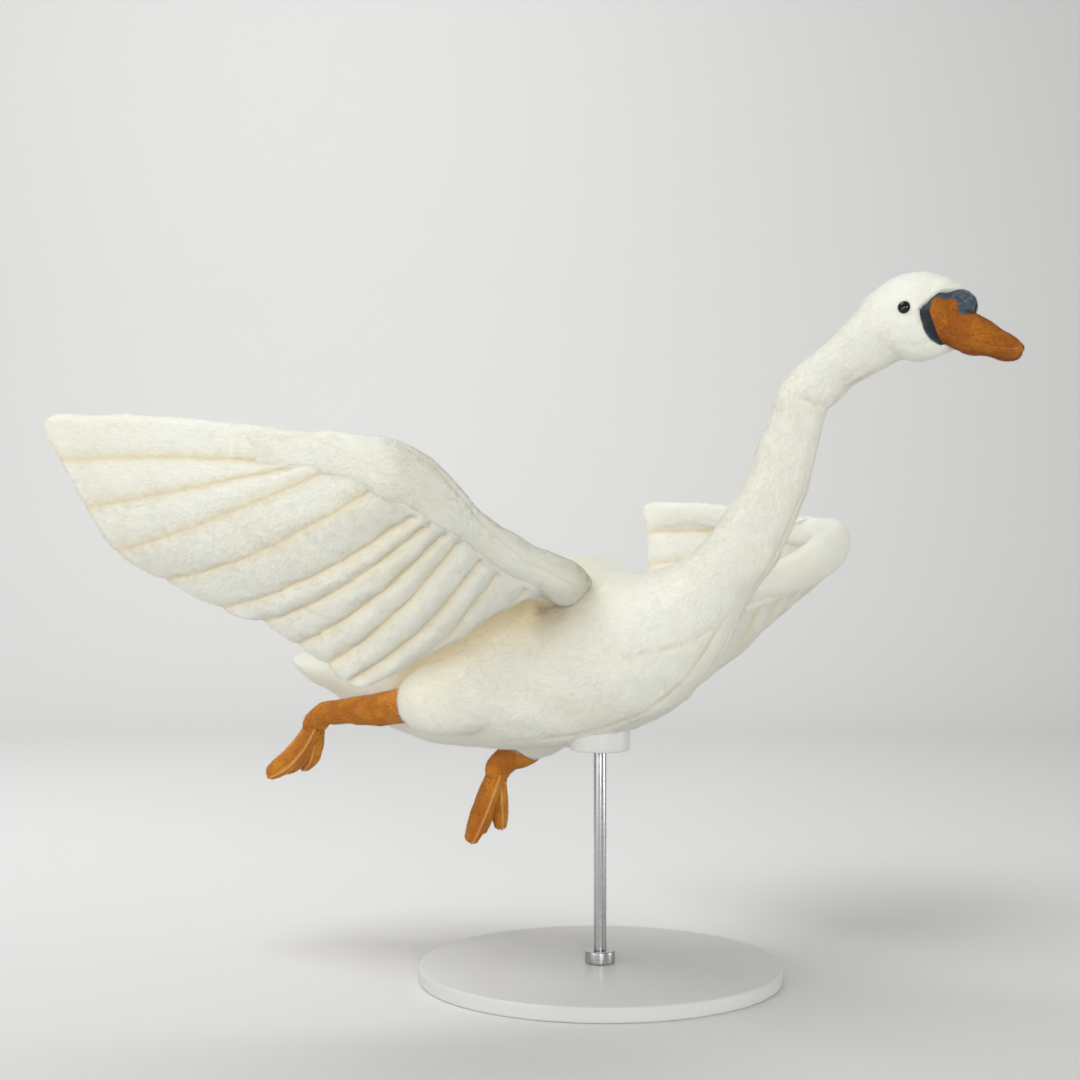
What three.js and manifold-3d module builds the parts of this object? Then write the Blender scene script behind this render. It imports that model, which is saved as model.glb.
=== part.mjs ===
// A stuffed plush swan in flight, held up by a plain display stand.
// Millimetres, +Z up. The bill points along +X and the bird's left is +Y.
// The row's origin is the centre of the stand's underside.
import * as THREE from 'three';
import { mergeVertices } from 'three/addons/utils/BufferGeometryUtils.js';
import Module from 'manifold-3d';

const wasm = await Module();
wasm.setup();

// ---- Driving dimensions ----------------------------------------------------------------

const gap = 0.3; // clearance between neighbouring pieces
const flyingHeight = 270; // middle of the trunk above the table
const bankAngle = THREE.MathUtils.degToRad(-4); // left side a little down

// Middle line of the stuffed body from tail to forehead: x, z, half height, half width.
const bodyStations = [
  [-319, -28, 8, 26],
  [-308, -30, 13, 38],
  [-288, -35, 16, 44],
  [-266, -39, 18, 43],
  [-246, -43, 26, 40],
  [-216, -44, 38, 43],
  [-178, -40, 53, 52],
  [-123, -28, 66, 63],
  [-60, -16, 73, 71],
  [0, -9, 69, 69],
  [46, 2, 57, 60],
  [80, 22, 42, 47],
  [112, 53, 30, 33],
  [138, 83, 26, 27],
  [158, 118, 23, 24],
  [168, 152, 22.5, 23],
  [178, 184, 22, 22],
  [197, 203, 20.5, 21],
  [218, 216, 20, 20.5],
  [236, 227, 23, 22],
  [250, 236, 29, 26],
  [264, 241, 32.5, 28.5],
  [279, 242, 31, 28],
  [290, 242, 25, 23.5],
  [296, 242, 17, 17],
];
const bodyTailPole = -324;
const bodyFacePole = 300;
const bodyAround = 18;
const bodyRings = 38;

// Where the body is parted: a point x, z on the cut and the cut's forward direction.
const bodyCuts = [
  { after: 'tail', x: -250, z: -45, dx: 1, dz: 0 },
  { after: 'trunk', x: 88, z: 30, dx: 0.77, dz: 0.64 },
  { after: 'neck_lower', x: 158, z: 118, dx: 0.32, dz: 0.95 },
  { after: 'neck_middle', x: 181, z: 188, dx: 0.55, dz: 0.83 },
  { after: 'neck_upper', x: 238, z: 229, dx: 0.85, dz: 0.52 },
];
const lastBodyPart = 'head';

// Stuffed leading edge of the right wing, root to tip: x, y, z, half width, half thickness.
const edgeStations = [
  [9, -46, 39, 14.5, 12.5],
  [15, -68, 44, 16, 13.5],
  [20, -100, 50, 15, 14],
  [24, -152, 60, 15, 13.5],
  [32, -212, 77, 16, 13.5],
  [38, -262, 97.5, 20, 14],
  [34, -299, 110, 19, 14],
  [7, -318, 116, 16, 12],
  [-39, -328, 117, 15, 10.5],
  [-76, -336, 122, 15, 9.5],
  [-148, -350, 129, 17, 8.5],
  [-212, -366, 129.5, 18, 8],
];
const edgeRootPole = [4, -32, 36];
const edgeTipPole = [-229, -370, 129];
const edgeAround = 10;
const edgeRings = 19;
// Across the leading edge towards the fan, at even steps from root to tip.
const edgeAcross = [
  [-0.45, -0.33, -0.84],
  [-0.45, -0.33, -0.84],
  [-0.12, 0.02, -0.99],
  [-0.06, 0.22, -0.97],
];

// Sewn ribs of the right wing's fan, hand to root: start under the leading edge, trailing end.
const ribs = [
  [[-30.4, -327, 110], [-221, -365.5, 113]],
  [[-12.8, -322.1, 110], [-205, -353, 79.5]],
  [[4.8, -318, 107], [-190, -336, 49]],
  [[28, -304, 94], [-170, -306, 30]],
  [[32.2, -268, 80.1], [-137.2, -281.2, 12.1]],
  [[31.4, -252.7, 75.3], [-109.2, -265, 3]],
  [[30.3, -234, 70.4], [-92, -246.1, -12]],
  [[28.8, -217.2, 65.3], [-76.1, -229.8, -25.1]],
  [[24.1, -189.6, 53.3], [-70.1, -216.6, -37.2]],
  [[20.3, -165.8, 45], [-61.2, -199.3, -37.2]],
  [[17.2, -127.5, 37.3], [-37.5, -157.1, 7]],
  [[14, -92, 36], [-20, -108, 40]],
  [[7, -58, 31], [-24, -60, 30]],
];
const fanCamber = [4, 8, 12, 16, 18, 18, 17, 16, 14, 12, 9, 6, 3]; // bulge of each rib
const fanHalfThickness = 5.5; // middle of a stuffed channel
const fanSeamHalfThickness = 2.5; // at a sewn rib
const fanRimHalfThickness = 1.5; // along the trailing edge
const tuckIn = 9; // how far the ribs run on inside the leading edge
const channelSteps = 3;
const fanSteps = 4;
const foldCut = { point: [0, -262, 36], direction: [0.74, 0.52, 0.43] }; // arm side of the fold
const leftWristSag = 18; // the left wing hangs a little lower along its arm
const leftShort = 11; // its tip reaches this much less far back,
const leftLean = 0.22; // more so towards the tip's top,
const leftWrist = 11; // and its wrist reaches this much further forward
const sagMiddle = 235;
const sagReach = 125;

// Legs: middle line from inside the trunk to past the ankle, x, y, z, half width, half thickness.
const rightLeg = {
  side: 'right',
  line: [
    [-66, -40, -38, 28, 28],
    [-84, -52, -44, 33, 32],
    [-110, -58, -51, 30, 30],
    [-136, -60, -57, 21, 21],
    [-152, -60, -60, 15.5, 15.5],
    [-180, -60, -65, 14, 14],
    [-214, -60, -68.5, 11.5, 11.5],
    [-240, -60, -72, 10.5, 10.5],
    [-253, -60, -80, 11, 10.5],
    [-256, -60, -90, 12, 9],
    [-266, -60, -101, 13, 7],
  ],
  cuff: { point: [-151, -60, -60], direction: [-0.985, 0, -0.17] },
  ankle: { point: [-255, -60, -88], direction: [-0.25, 0, -0.97] },
  toes: [[-297, -71, -128], [-289, -58, -125], [-282, -44, -121]],
};
const leftLeg = {
  side: 'left',
  line: [
    [-64, 38, -42, 28, 28],
    [-80, 48, -54, 32, 32],
    [-98, 56, -72, 27, 27],
    [-112, 60, -88, 19, 19],
    [-124, 60, -99, 13.5, 13.5],
    [-137, 60, -105, 12.5, 12.5],
    [-147, 60, -114, 12, 11.5],
    [-150, 60, -125, 12.5, 10],
    [-155, 60, -138, 13, 7],
  ],
  cuff: { point: [-121, 60, -97], direction: [-0.8, 0, -0.6] },
  ankle: { point: [-149.5, 60, -124], direction: [-0.12, 0, -0.99] },
  toes: [[-168, 50, -180], [-165, 62, -173], [-156, 76, -168]],
};
const legAround = 12;
const legRings = 17;
const toeHalfWidth = 10;
const toeHalfThickness = 7;
const toeAround = 8;
const toeRings = 5;

// Bill: x, z, half height, half width. The mouth line parts it in two.
const billStations = [
  [286, 233, 15, 18],
  [296, 232, 17.5, 20],
  [308, 228, 16.5, 19],
  [320, 223, 13.8, 16.5],
  [333, 216, 11, 14.5],
  [342, 212.5, 8, 12.5],
  [346.5, 211.5, 5, 8.5],
];
const billRootPole = 284;
const billTipPole = 348.5;
const billAround = 14;
const billRings = 10;
const mouth = { point: [295, 0, 226], direction: [0.32, 0, 0.95] };

// The grey-blue face patch: a band round the bill's root and a knob over it. The white plush
// ends on two planes that meet on the cheek, one down to the jaw and one up over the knob.
const knob = { centre: [302, 0, 247], radii: [13, 12, 12] };
const faceBand = { centre: [289, 0, 234], radii: [9, 25.5, 23], tilt: 0.35 };
const cheekCorner = [283, 0, 241.5];
const jawFacing = [0.92, 0, 0.4];
const browFacing = [0.77, 0, -0.64];
const faceBlock = 120; // wider than the head

const faceSegments = 12;
const eyeSegments = 9;

const eyeRadius = 5;
const eyeCentre = [273, 25.5, 243];

// Display stand, in the row's own frame.
const baseRadius = 145;
const baseThickness = 12;
const baseBevel = 2;
const rodRadius = 5;
const collarRadius = 12;
const collarHeight = 10;
const saddleRadius = 24;
const saddleDrop = 4; // saddle's underside below the lowest point of the belly over it
const standSegments = 40;
const rodSegments = 16;

// ---- Materials ---------------------------------------------------------------------------

const finish = (color, roughness, metalness = 0) =>
  new THREE.MeshStandardMaterial({ color, roughness, metalness });
const whitePlush = finish('#eeebe0', 0.95);
const gingerPlush = finish('#b5681f', 0.9);
const slatePlush = finish('#43525f', 0.9);
const eyeGloss = finish('#0c0a09', 0.12);
const standPaint = finish('#d9d8d4', 0.45);
const rodSteel = finish('#b9bbbd', 0.3, 1);

// ---- Shape helpers -------------------------------------------------------------------------

const vec = (a) => new THREE.Vector3(...a);
const mirrored = ([x, y, z, ...rest]) => [x, -y, z, ...rest];

// Uniform Catmull-Rom through rows of numbers, t running from 0 to rows.length - 1.
function sampleRows(rows, t) {
  const last = rows.length - 1;
  const i = Math.min(Math.max(Math.floor(t), 0), last - 1);
  const u = t - i;
  const before = i > 0 ? rows[i - 1] : rows[0].map((v, k) => 2 * v - rows[1][k]);
  const after = i + 2 <= last ? rows[i + 2] : rows[last].map((v, k) => 2 * v - rows[last - 1][k]);
  return rows[i].map((b, k) => {
    const [a, c, d] = [before[k], rows[i + 1][k], after[k]];
    return b + 0.5 * u * (c - a + u * (2 * a - 5 * b + 4 * c - d + u * (3 * b - 3 * c + d - a)));
  });
}

// Indexed geometry to a manifold solid, turned right side out when its volume is negative.
function solidFrom(positions, faces) {
  let volume = 0;
  const corners = positions.map((p) => p.toArray());
  for (const [a, b, c] of faces) {
    volume += positions[a].dot(new THREE.Vector3().crossVectors(positions[b], positions[c]));
  }
  const wound = volume < 0 ? faces.map(([a, b, c]) => [a, c, b]) : faces;
  return new wasm.Manifold(new wasm.Mesh({
    numProp: 3,
    vertProperties: new Float32Array(corners.flat()),
    triVerts: new Uint32Array(wound.flat()),
  }));
}

// Closed solid over rings of equal length, with a pole point past each end.
function loft(rings, startPole, endPole) {
  const around = rings[0].length;
  const positions = [startPole, ...rings.flat(), endPole];
  const faces = [];
  const at = (r, k) => 1 + r * around + (k % around);
  for (let k = 0; k < around; k += 1) {
    faces.push([0, at(0, k + 1), at(0, k)]);
    faces.push([positions.length - 1, at(rings.length - 1, k), at(rings.length - 1, k + 1)]);
    for (let r = 0; r + 1 < rings.length; r += 1) {
      faces.push([at(r, k), at(r, k + 1), at(r + 1, k)]);
      faces.push([at(r, k + 1), at(r + 1, k + 1), at(r + 1, k)]);
    }
  }
  return solidFrom(positions, faces);
}

function ellipseRing(centre, wideAxis, wide, thickAxis, thick, around) {
  return Array.from({ length: around }, (_, k) => {
    const angle = (2 * Math.PI * k) / around;
    return centre.clone()
      .addScaledVector(wideAxis, wide * Math.cos(angle))
      .addScaledVector(thickAxis, thick * Math.sin(angle));
  });
}

// Elliptical rings along a line in the bird's middle plane. grow fattens the solid.
function middleLoft(stations, tailX, faceX, around, ringCount, grow) {
  const side = new THREE.Vector3(0, 1, 0);
  const last = stations.length - 1;
  const rings = Array.from({ length: ringCount }, (_, r) => {
    const t = (last * r) / (ringCount - 1);
    const [x, z, half, wide] = sampleRows(stations, t);
    const [x0, z0] = sampleRows(stations, Math.max(t - 0.05, 0));
    const [x1, z1] = sampleRows(stations, Math.min(t + 0.05, last));
    const up = new THREE.Vector3(z0 - z1, 0, x1 - x0).normalize();
    return ellipseRing(new THREE.Vector3(x, 0, z), side, wide + grow, up, half + grow, around);
  });
  const startPole = new THREE.Vector3(tailX - grow, 0, stations[0][1]);
  const endPole = new THREE.Vector3(faceX + grow, 0, stations[last][1]);
  return loft(rings, startPole, endPole);
}

// Elliptical rings along a line in space. across(t) hints where each ring's wide side points.
function tube(rows, poles, across, around, ringCount, grow) {
  const last = rows.length - 1;
  const rings = Array.from({ length: ringCount }, (_, r) => {
    const t = (last * r) / (ringCount - 1);
    const [x, y, z, wide, thick] = sampleRows(rows, t);
    const back = vec(sampleRows(rows, Math.max(t - 0.05, 0)).slice(0, 3));
    const ahead = vec(sampleRows(rows, Math.min(t + 0.05, last)).slice(0, 3));
    const along = ahead.sub(back).normalize();
    const hint = across(t / last);
    const wideAxis = hint.clone().addScaledVector(along, -hint.dot(along)).normalize();
    const thickAxis = new THREE.Vector3().crossVectors(along, wideAxis);
    const centre = new THREE.Vector3(x, y, z);
    return ellipseRing(centre, wideAxis, wide + grow, thickAxis, thick + grow, around);
  });
  return loft(rings, vec(poles[0]), vec(poles[1]));
}

function ellipsoid(centre, radii, segments, tilt = 0) {
  const ball = positionOnly(new THREE.SphereGeometry(1, segments, segments - 4));
  ball.scale(...radii);
  ball.rotateY(-tilt);
  ball.translate(...centre);
  return fromGeometry(ball);
}

function positionOnly(geometry) {
  geometry.deleteAttribute('normal');
  geometry.deleteAttribute('uv');
  return geometry;
}

function fromGeometry(unmerged) {
  const geometry = mergeVertices(unmerged);
  const { array } = geometry.attributes.position;
  return new wasm.Manifold(new wasm.Mesh({
    numProp: 3,
    vertProperties: new Float32Array(array),
    triVerts: new Uint32Array(geometry.index.array),
  }));
}

// The part of a solid on one side of a plane, half a gap away from it.
function sideOf(solid, point, direction, sign) {
  const normal = vec(direction).normalize().multiplyScalar(sign);
  return solid.trimByPlane(normal.toArray(), normal.dot(vec(point)) + gap / 2);
}

function meshOf(name, solid, material) {
  const { vertProperties, triVerts, numProp } = solid.getMesh();
  const geometry = new THREE.BufferGeometry();
  const positions = new Float32Array((vertProperties.length / numProp) * 3);
  for (let i = 0; i < positions.length; i += 1) {
    positions[i] = vertProperties[Math.floor(i / 3) * numProp + (i % 3)];
  }
  geometry.setAttribute('position', new THREE.BufferAttribute(positions, 3));
  geometry.setIndex(new THREE.BufferAttribute(new Uint32Array(triVerts), 1));
  geometry.computeVertexNormals();
  const mesh = new THREE.Mesh(geometry, material);
  mesh.name = name;
  return mesh;
}

// ---- Body ------------------------------------------------------------------------------------

// Everything in front of the white plush, from half a gap inside it to half a gap clear.
function faceWedge(clear) {
  const block = fromGeometry(positionOnly(new THREE.BoxGeometry(faceBlock, faceBlock, faceBlock)));
  const corner = (facing) => vec(cheekCorner).addScaledVector(vec(facing).normalize(), clear);
  return [jawFacing, browFacing].reduce(
    (solid, facing) => sideOf(solid, corner(facing).toArray(), facing, 1),
    block.translate(cheekCorner),
  );
}

const bodySolid = (grow) =>
  middleLoft(bodyStations, bodyTailPole, bodyFacePole, bodyAround, bodyRings, grow)
    .subtract(faceWedge(-gap));

function bodyParts(eyes) {
  let rest = eyes.reduce((solid, eye) => solid.subtract(eye), bodySolid(0));
  const parts = [];
  for (const { after, x, z, dx, dz } of bodyCuts) {
    parts.push(meshOf(after, sideOf(rest, [x, 0, z], [dx, 0, dz], -1), whitePlush));
    rest = sideOf(rest, [x, 0, z], [dx, 0, dz], 1);
  }
  parts.push(meshOf(lastBodyPart, rest, whitePlush));
  return parts;
}

// ---- Wings -----------------------------------------------------------------------------------

// Moves the front of the left wing down along the arm, its wrist forward, and its tip forward.
function sagged([x, y, z, ...rest]) {
  const { clamp, smoothstep } = THREE.MathUtils;
  const inFront = smoothstep(x, -60, 10);
  const drawn = clamp(leftLean * (z - 113) + leftShort, 5, 20) * clamp((-60 - x) / 150, 0, 1);
  const wrist = leftWrist * Math.exp(-(((Math.abs(y) - 285) / 40) ** 2)) * inFront;
  const reach = (Math.abs(y) - sagMiddle) / sagReach;
  const sag = leftWristSag * Math.max(0, 1 - reach * reach) * inFront;
  return [x + drawn + wrist, y, z - sag + 0.4 * wrist, ...rest];
}

const placeFor = {
  right: (row) => row,
  left: (row) => sagged(mirrored(row)),
};

function edgeSolid(side, grow) {
  const place = placeFor[side];
  const turn = side === 'left' ? mirrored : (row) => row;
  const across = (u) => vec(sampleRows(edgeAcross.map(turn), u * (edgeAcross.length - 1)));
  const poles = [place(edgeRootPole), place(edgeTipPole)];
  return tube(edgeStations.map(place), poles, across, edgeAround, edgeRings, grow);
}

// A fan of stuffed channels between sewn ribs, as an upper and a lower sheet joined at the rim.
function fanSolid(side) {
  const place = placeFor[side];
  const rows = ribs.map(([start, end], i) => [...place(start), ...place(end), fanCamber[i]]);
  const columns = (ribs.length - 1) * channelSteps + 1;
  const lower = [];
  const upper = [];
  for (let i = 0; i < columns; i += 1) {
    const a = i / channelSteps;
    const row = sampleRows(rows, a);
    const next = sampleRows(rows, Math.min(a + 0.1, ribs.length - 1));
    const previous = sampleRows(rows, Math.max(a - 0.1, 0));
    const end = vec(row.slice(3, 6));
    const inwards = vec(row.slice(0, 3)).sub(end).normalize();
    const start = vec(row.slice(0, 3)).addScaledVector(inwards, tuckIn);
    const rib = end.clone().sub(start);
    const middleOf = (r) => vec(r.slice(0, 3)).lerp(vec(r.slice(3, 6)), 0.6);
    const sideways = middleOf(next).sub(middleOf(previous));
    const normal = new THREE.Vector3().crossVectors(rib, sideways).normalize();
    normal.multiplyScalar(side === 'left' ? -1 : 1);
    const swell = Math.sqrt(Math.abs(Math.sin(Math.PI * a)));
    for (let j = 0; j <= fanSteps; j += 1) {
      const b = j / fanSteps;
      const full = fanSeamHalfThickness + (fanHalfThickness - fanSeamHalfThickness) * swell;
      const half = THREE.MathUtils.lerp(full, fanRimHalfThickness, b ** 4);
      const middle = start.clone().addScaledVector(rib, b);
      middle.addScaledVector(normal, row[6] * Math.sin(Math.PI * b));
      lower.push(middle.clone().addScaledVector(normal, half));
      upper.push(middle.clone().addScaledVector(normal, -half));
    }
  }
  return sheetSolid(lower, upper, columns, fanSteps + 1);
}

// Closes two matching grids of points into one solid.
function sheetSolid(lower, upper, columns, rowsPerColumn) {
  const faces = [];
  const offset = lower.length;
  const at = (i, j) => i * rowsPerColumn + j;
  for (let i = 0; i + 1 < columns; i += 1) {
    for (let j = 0; j + 1 < rowsPerColumn; j += 1) {
      const [p, q, r, s] = [at(i, j), at(i + 1, j), at(i + 1, j + 1), at(i, j + 1)];
      faces.push([p, q, r], [p, r, s]);
      faces.push([p + offset, r + offset, q + offset], [p + offset, s + offset, r + offset]);
    }
  }
  const rim = [];
  for (let i = 0; i + 1 < columns; i += 1) {
    rim.push(at(i, 0));
  }
  for (let j = 0; j + 1 < rowsPerColumn; j += 1) {
    rim.push(at(columns - 1, j));
  }
  for (let i = columns - 1; i > 0; i -= 1) {
    rim.push(at(i, rowsPerColumn - 1));
  }
  for (let j = rowsPerColumn - 1; j > 0; j -= 1) {
    rim.push(at(0, j));
  }
  rim.forEach((p, k) => {
    const q = rim[(k + 1) % rim.length];
    faces.push([q, p, p + offset], [q, p + offset, q + offset]);
  });
  return solidFrom([...lower, ...upper], faces);
}

function wingParts(side, fatBody) {
  const turn = side === 'left' ? mirrored : (row) => row;
  const point = turn(foldCut.point);
  const direction = turn(foldCut.direction);
  const edge = edgeSolid(side, 0).subtract(fatBody);
  const panel = fanSolid(side).subtract(edgeSolid(side, gap)).subtract(fatBody);
  return [
    meshOf(`wing_${side}_arm_edge`, sideOf(edge, point, direction, 1), whitePlush),
    meshOf(`wing_${side}_hand_edge`, sideOf(edge, point, direction, -1), whitePlush),
    meshOf(`wing_${side}_arm_panel`, sideOf(panel, point, direction, 1), whitePlush),
    meshOf(`wing_${side}_hand_panel`, sideOf(panel, point, direction, -1), whitePlush),
  ];
}

// ---- Legs ------------------------------------------------------------------------------------

function toeSolid(ankle, tip) {
  const from = vec(ankle);
  const to = vec(tip);
  const rows = [0, 0.3, 0.65, 0.9, 1].map((u, i) => {
    const swell = [0.8, 0.95, 1, 0.8, 0.45][i];
    const p = from.clone().lerp(to, u * 0.96);
    return [p.x, p.y, p.z, toeHalfWidth * swell, toeHalfThickness * swell];
  });
  const across = () => new THREE.Vector3(0, 1, 0);
  return tube(rows, [ankle, tip], across, toeAround, toeRings, 0);
}

function legParts({ side, line, cuff, ankle, toes }, fatBody) {
  const across = () => new THREE.Vector3(0, 1, 0);
  const poles = [line[0].slice(0, 3), line[line.length - 1].slice(0, 3)];
  const limb = tube(line, poles, across, legAround, legRings, 0).subtract(fatBody);
  const thigh = sideOf(limb, cuff.point, cuff.direction, -1);
  const below = sideOf(limb, cuff.point, cuff.direction, 1);
  const heel = ankle.point.map((v, i) => v - 6 * ankle.direction[i]);
  const toesJoined = toes.reduce((solid, tip) => solid.add(toeSolid(heel, tip)), below);
  const shank = sideOf(below, ankle.point, ankle.direction, -1);
  const foot = sideOf(toesJoined, ankle.point, ankle.direction, 1);
  return [
    meshOf(`thigh_${side}`, thigh, whitePlush),
    meshOf(`leg_${side}`, shank, gingerPlush),
    meshOf(`foot_${side}`, foot, gingerPlush),
  ];
}

// ---- Face ------------------------------------------------------------------------------------

const billSolid = (grow) =>
  middleLoft(billStations, billRootPole, billTipPole, billAround, billRings, grow);

function faceParts(fatBody) {
  const bill = billSolid(0).subtract(fatBody);
  const mask = ellipsoid(knob.centre, knob.radii, faceSegments)
    .add(ellipsoid(faceBand.centre, faceBand.radii, faceSegments, faceBand.tilt))
    .intersect(faceWedge(0))
    .subtract(fatBody)
    .subtract(billSolid(gap));
  return [
    meshOf('face_patch', mask, slatePlush),
    meshOf('bill_upper', sideOf(bill, mouth.point, mouth.direction, 1), gingerPlush),
    meshOf('bill_lower', sideOf(bill, mouth.point, mouth.direction, -1), gingerPlush),
  ];
}

// ---- Stand -----------------------------------------------------------------------------------

function turned(profile, segments) {
  const points = profile.map(([r, z]) => new THREE.Vector2(r, z));
  return positionOnly(new THREE.LatheGeometry(points, segments).rotateX(Math.PI / 2));
}

const cylinder = (radius, from, to, segments) =>
  turned([[0, from], [radius, from], [radius, to], [0, to]], segments);

function standParts(fatBird) {
  const saddleBottom = bellyHeight(fatBird) - saddleDrop;
  const saddleBlank = fromGeometry(cylinder(saddleRadius, saddleBottom, flyingHeight, rodSegments));
  const base = turned([
    [0, 0], [baseRadius, 0], [baseRadius, baseThickness - baseBevel],
    [baseRadius - baseBevel, baseThickness], [0, baseThickness],
  ], standSegments);
  const collarTop = baseThickness + collarHeight;
  const collar = cylinder(collarRadius, baseThickness + gap, collarTop, rodSegments);
  const rod = cylinder(rodRadius, collarTop + gap, saddleBottom - gap, rodSegments);
  const saddle = pieceFrom(saddleBlank.subtract(fatBird), saddleBottom);
  return [
    meshOf('stand_base', fromGeometry(base), standPaint),
    meshOf('stand_collar', fromGeometry(collar), rodSteel),
    meshOf('stand_rod', fromGeometry(rod), rodSteel),
    meshOf('stand_saddle', saddle, standPaint),
  ];
}

// Lowest point of the bird's body above the middle of the stand.
function bellyHeight(fatBird) {
  const probe = fromGeometry(cylinder(saddleRadius, 0, flyingHeight, rodSegments));
  return probe.intersect(fatBird).boundingBox().min[2];
}

// The piece of a cut solid that starts at the given height.
function pieceFrom(solid, bottom) {
  return solid.decompose().find((piece) => Math.abs(piece.boundingBox().min[2] - bottom) < 1);
}

// ---- The whole part ----------------------------------------------------------------------------

const bird = new THREE.Group();
bird.position.set(0, 0, flyingHeight);
bird.rotation.x = bankAngle;
bird.updateMatrix();

const fatBody = bodySolid(gap);
const eyeSolids = (grow) => [eyeCentre, mirrored(eyeCentre)]
  .map((centre) => ellipsoid(centre, Array(3).fill(eyeRadius + grow), eyeSegments));
const [leftEye, rightEye] = eyeSolids(0);
bird.add(
  ...bodyParts(eyeSolids(gap)),
  ...faceParts(fatBody),
  meshOf('eye_left', leftEye, eyeGloss),
  meshOf('eye_right', rightEye, eyeGloss),
  ...wingParts('right', fatBody),
  ...wingParts('left', fatBody),
  ...legParts(rightLeg, fatBody),
  ...legParts(leftLeg, fatBody),
);

const swan = new THREE.Group();
swan.name = 'plush_swan_on_stand';
swan.add(bird, ...standParts(fatBody.transform(bird.matrix.toArray())));

export default swan;
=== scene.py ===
import bpy
import math
import numpy as np
from mathutils import Matrix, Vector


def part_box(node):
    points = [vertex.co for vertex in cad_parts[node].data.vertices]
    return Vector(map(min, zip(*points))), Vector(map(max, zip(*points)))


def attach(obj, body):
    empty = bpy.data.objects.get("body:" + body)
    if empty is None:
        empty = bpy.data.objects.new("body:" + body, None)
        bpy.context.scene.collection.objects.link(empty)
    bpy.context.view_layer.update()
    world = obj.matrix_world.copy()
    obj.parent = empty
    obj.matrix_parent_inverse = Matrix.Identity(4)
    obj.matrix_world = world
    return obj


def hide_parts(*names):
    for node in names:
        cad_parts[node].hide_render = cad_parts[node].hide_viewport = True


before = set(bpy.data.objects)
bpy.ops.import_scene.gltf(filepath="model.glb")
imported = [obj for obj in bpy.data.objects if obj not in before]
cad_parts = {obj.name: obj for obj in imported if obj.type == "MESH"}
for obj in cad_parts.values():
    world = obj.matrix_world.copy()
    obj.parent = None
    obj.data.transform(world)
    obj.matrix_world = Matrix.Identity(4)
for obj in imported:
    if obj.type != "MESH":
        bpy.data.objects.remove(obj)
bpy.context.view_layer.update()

# The bird is worked out in its own frame, in millimetres: bill along +X, its left +Y, up +Z.
# toRow then banks it, lifts it to its flying height and turns it into metres.
birdPlace = {"height": 270, "bank": math.radians(-4)}
coatDepth = 1.6  # how far the white skin lies inside the outline, so that the pile fills it
velvetDepth = 0.6
right, left = 1, -1  # the side a wing or leg is on; left ones are mirrored in Y
sides = {"right": right, "left": left}


def sampleRows(rows, t):
    # p(t) = b + u/2 (c - a + u (2a - 5b + 4c - d + u (3b - 3c + d - a))), u = t - i,
    # a smooth curve through the rows, where a, b, c, d are the rows round t
    rows = np.asarray(rows, float)
    t = np.asarray(t, float)
    ends = np.vstack([2 * rows[0] - rows[1], rows, 2 * rows[-1] - rows[-2]])
    i = np.clip(np.floor(t).astype(int), 0, len(rows) - 2)
    u = (t - i)[..., None]
    a, b, c, d = (ends[i + k] for k in range(4))
    return b + u / 2 * (c - a + u * (2 * a - 5 * b + 4 * c - d + u * (3 * b - 3 * c + d - a)))


def unit(v):
    # v / |v|
    return v / np.maximum(np.linalg.norm(v, axis=-1, keepdims=True), 1e-9)


def smoothStep(low, high, x):
    # 3s^2 - 2s^3, with s = (x - low) / (high - low) kept from 0 to 1
    s = np.clip((x - low) / (high - low), 0, 1)
    return s * s * (3 - 2 * s)


def smoothMax(a, b, soft):
    # (a + b + sqrt((a - b)^2 + soft^2)) / 2
    return 0.5 * (a + b + np.sqrt((a - b) ** 2 + soft ** 2))


def rounded(share):
    # a quarter circle: sqrt(1 - (1 - s)^2), with s kept from 0 to 1
    return np.sqrt(1 - (1 - np.clip(share, 0, 1)) ** 2)


def bell(distance, width):
    # exp(-(distance / width)^2)
    return np.exp(-(distance / width) ** 2)


noise = {"waves": 14, "spread": (0.6, 1.5), "level": 0.7}


def softNoise(points, size, seed):
    # sum of cos(k.p + phase) over random directions, |k| about 2 pi / size, scaled to about -1..1
    rng = np.random.default_rng(seed)
    count = noise["waves"]
    k = unit(rng.normal(size=(count, 3))) * (2 * np.pi / size)
    k = k * rng.uniform(*noise["spread"], (count, 1))
    phase = rng.uniform(0, 2 * np.pi, count)
    total = sum(np.cos(points @ k[i] + phase[i]) for i in range(count))
    return total / math.sqrt(count / 2) * noise["level"]


def lumps(points, rows):
    # sum of height noise(p) over rows of size, seed and height in mm
    return sum(height * softNoise(points, size, seed) for size, seed, height in rows)


def valueAt(rows, x):
    # the value at x between rows of (x, value)
    return np.interp(x, *np.array(rows).T)


def distanceTo(points, line):
    # least distance from each point to the straight pieces of the line: |p - a - h (b - a)|,
    # h = (p - a).(b - a) / |b - a|^2 kept from 0 to 1
    line = np.asarray(line, float)
    best = np.full(points.shape[:-1], 1e9)
    for a, b in zip(line[:-1], line[1:]):
        h = np.clip(((points - a) @ (b - a)) / ((b - a) @ (b - a)), 0, 1)
        best = np.minimum(best, np.linalg.norm(points - a - h[..., None] * (b - a), axis=-1))
    return best


def mirrored(rows, side=left):
    # (x, y, z, ...) -> (x, side y, z, ...)
    out = np.array(rows, float)
    out[..., 1] *= side
    return out


def turnOnly(directions):
    # turned by the bank angle about X
    c, s = math.cos(birdPlace["bank"]), math.sin(birdPlace["bank"])
    x, y, z = np.moveaxis(directions, -1, 0)
    return np.stack([x, y * c - z * s, y * s + z * c], -1)


def toRow(points):
    # the same turn, raised by the flying height and divided by 1000
    return (turnOnly(points) + (0, 0, birdPlace["height"])) / 1000


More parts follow.
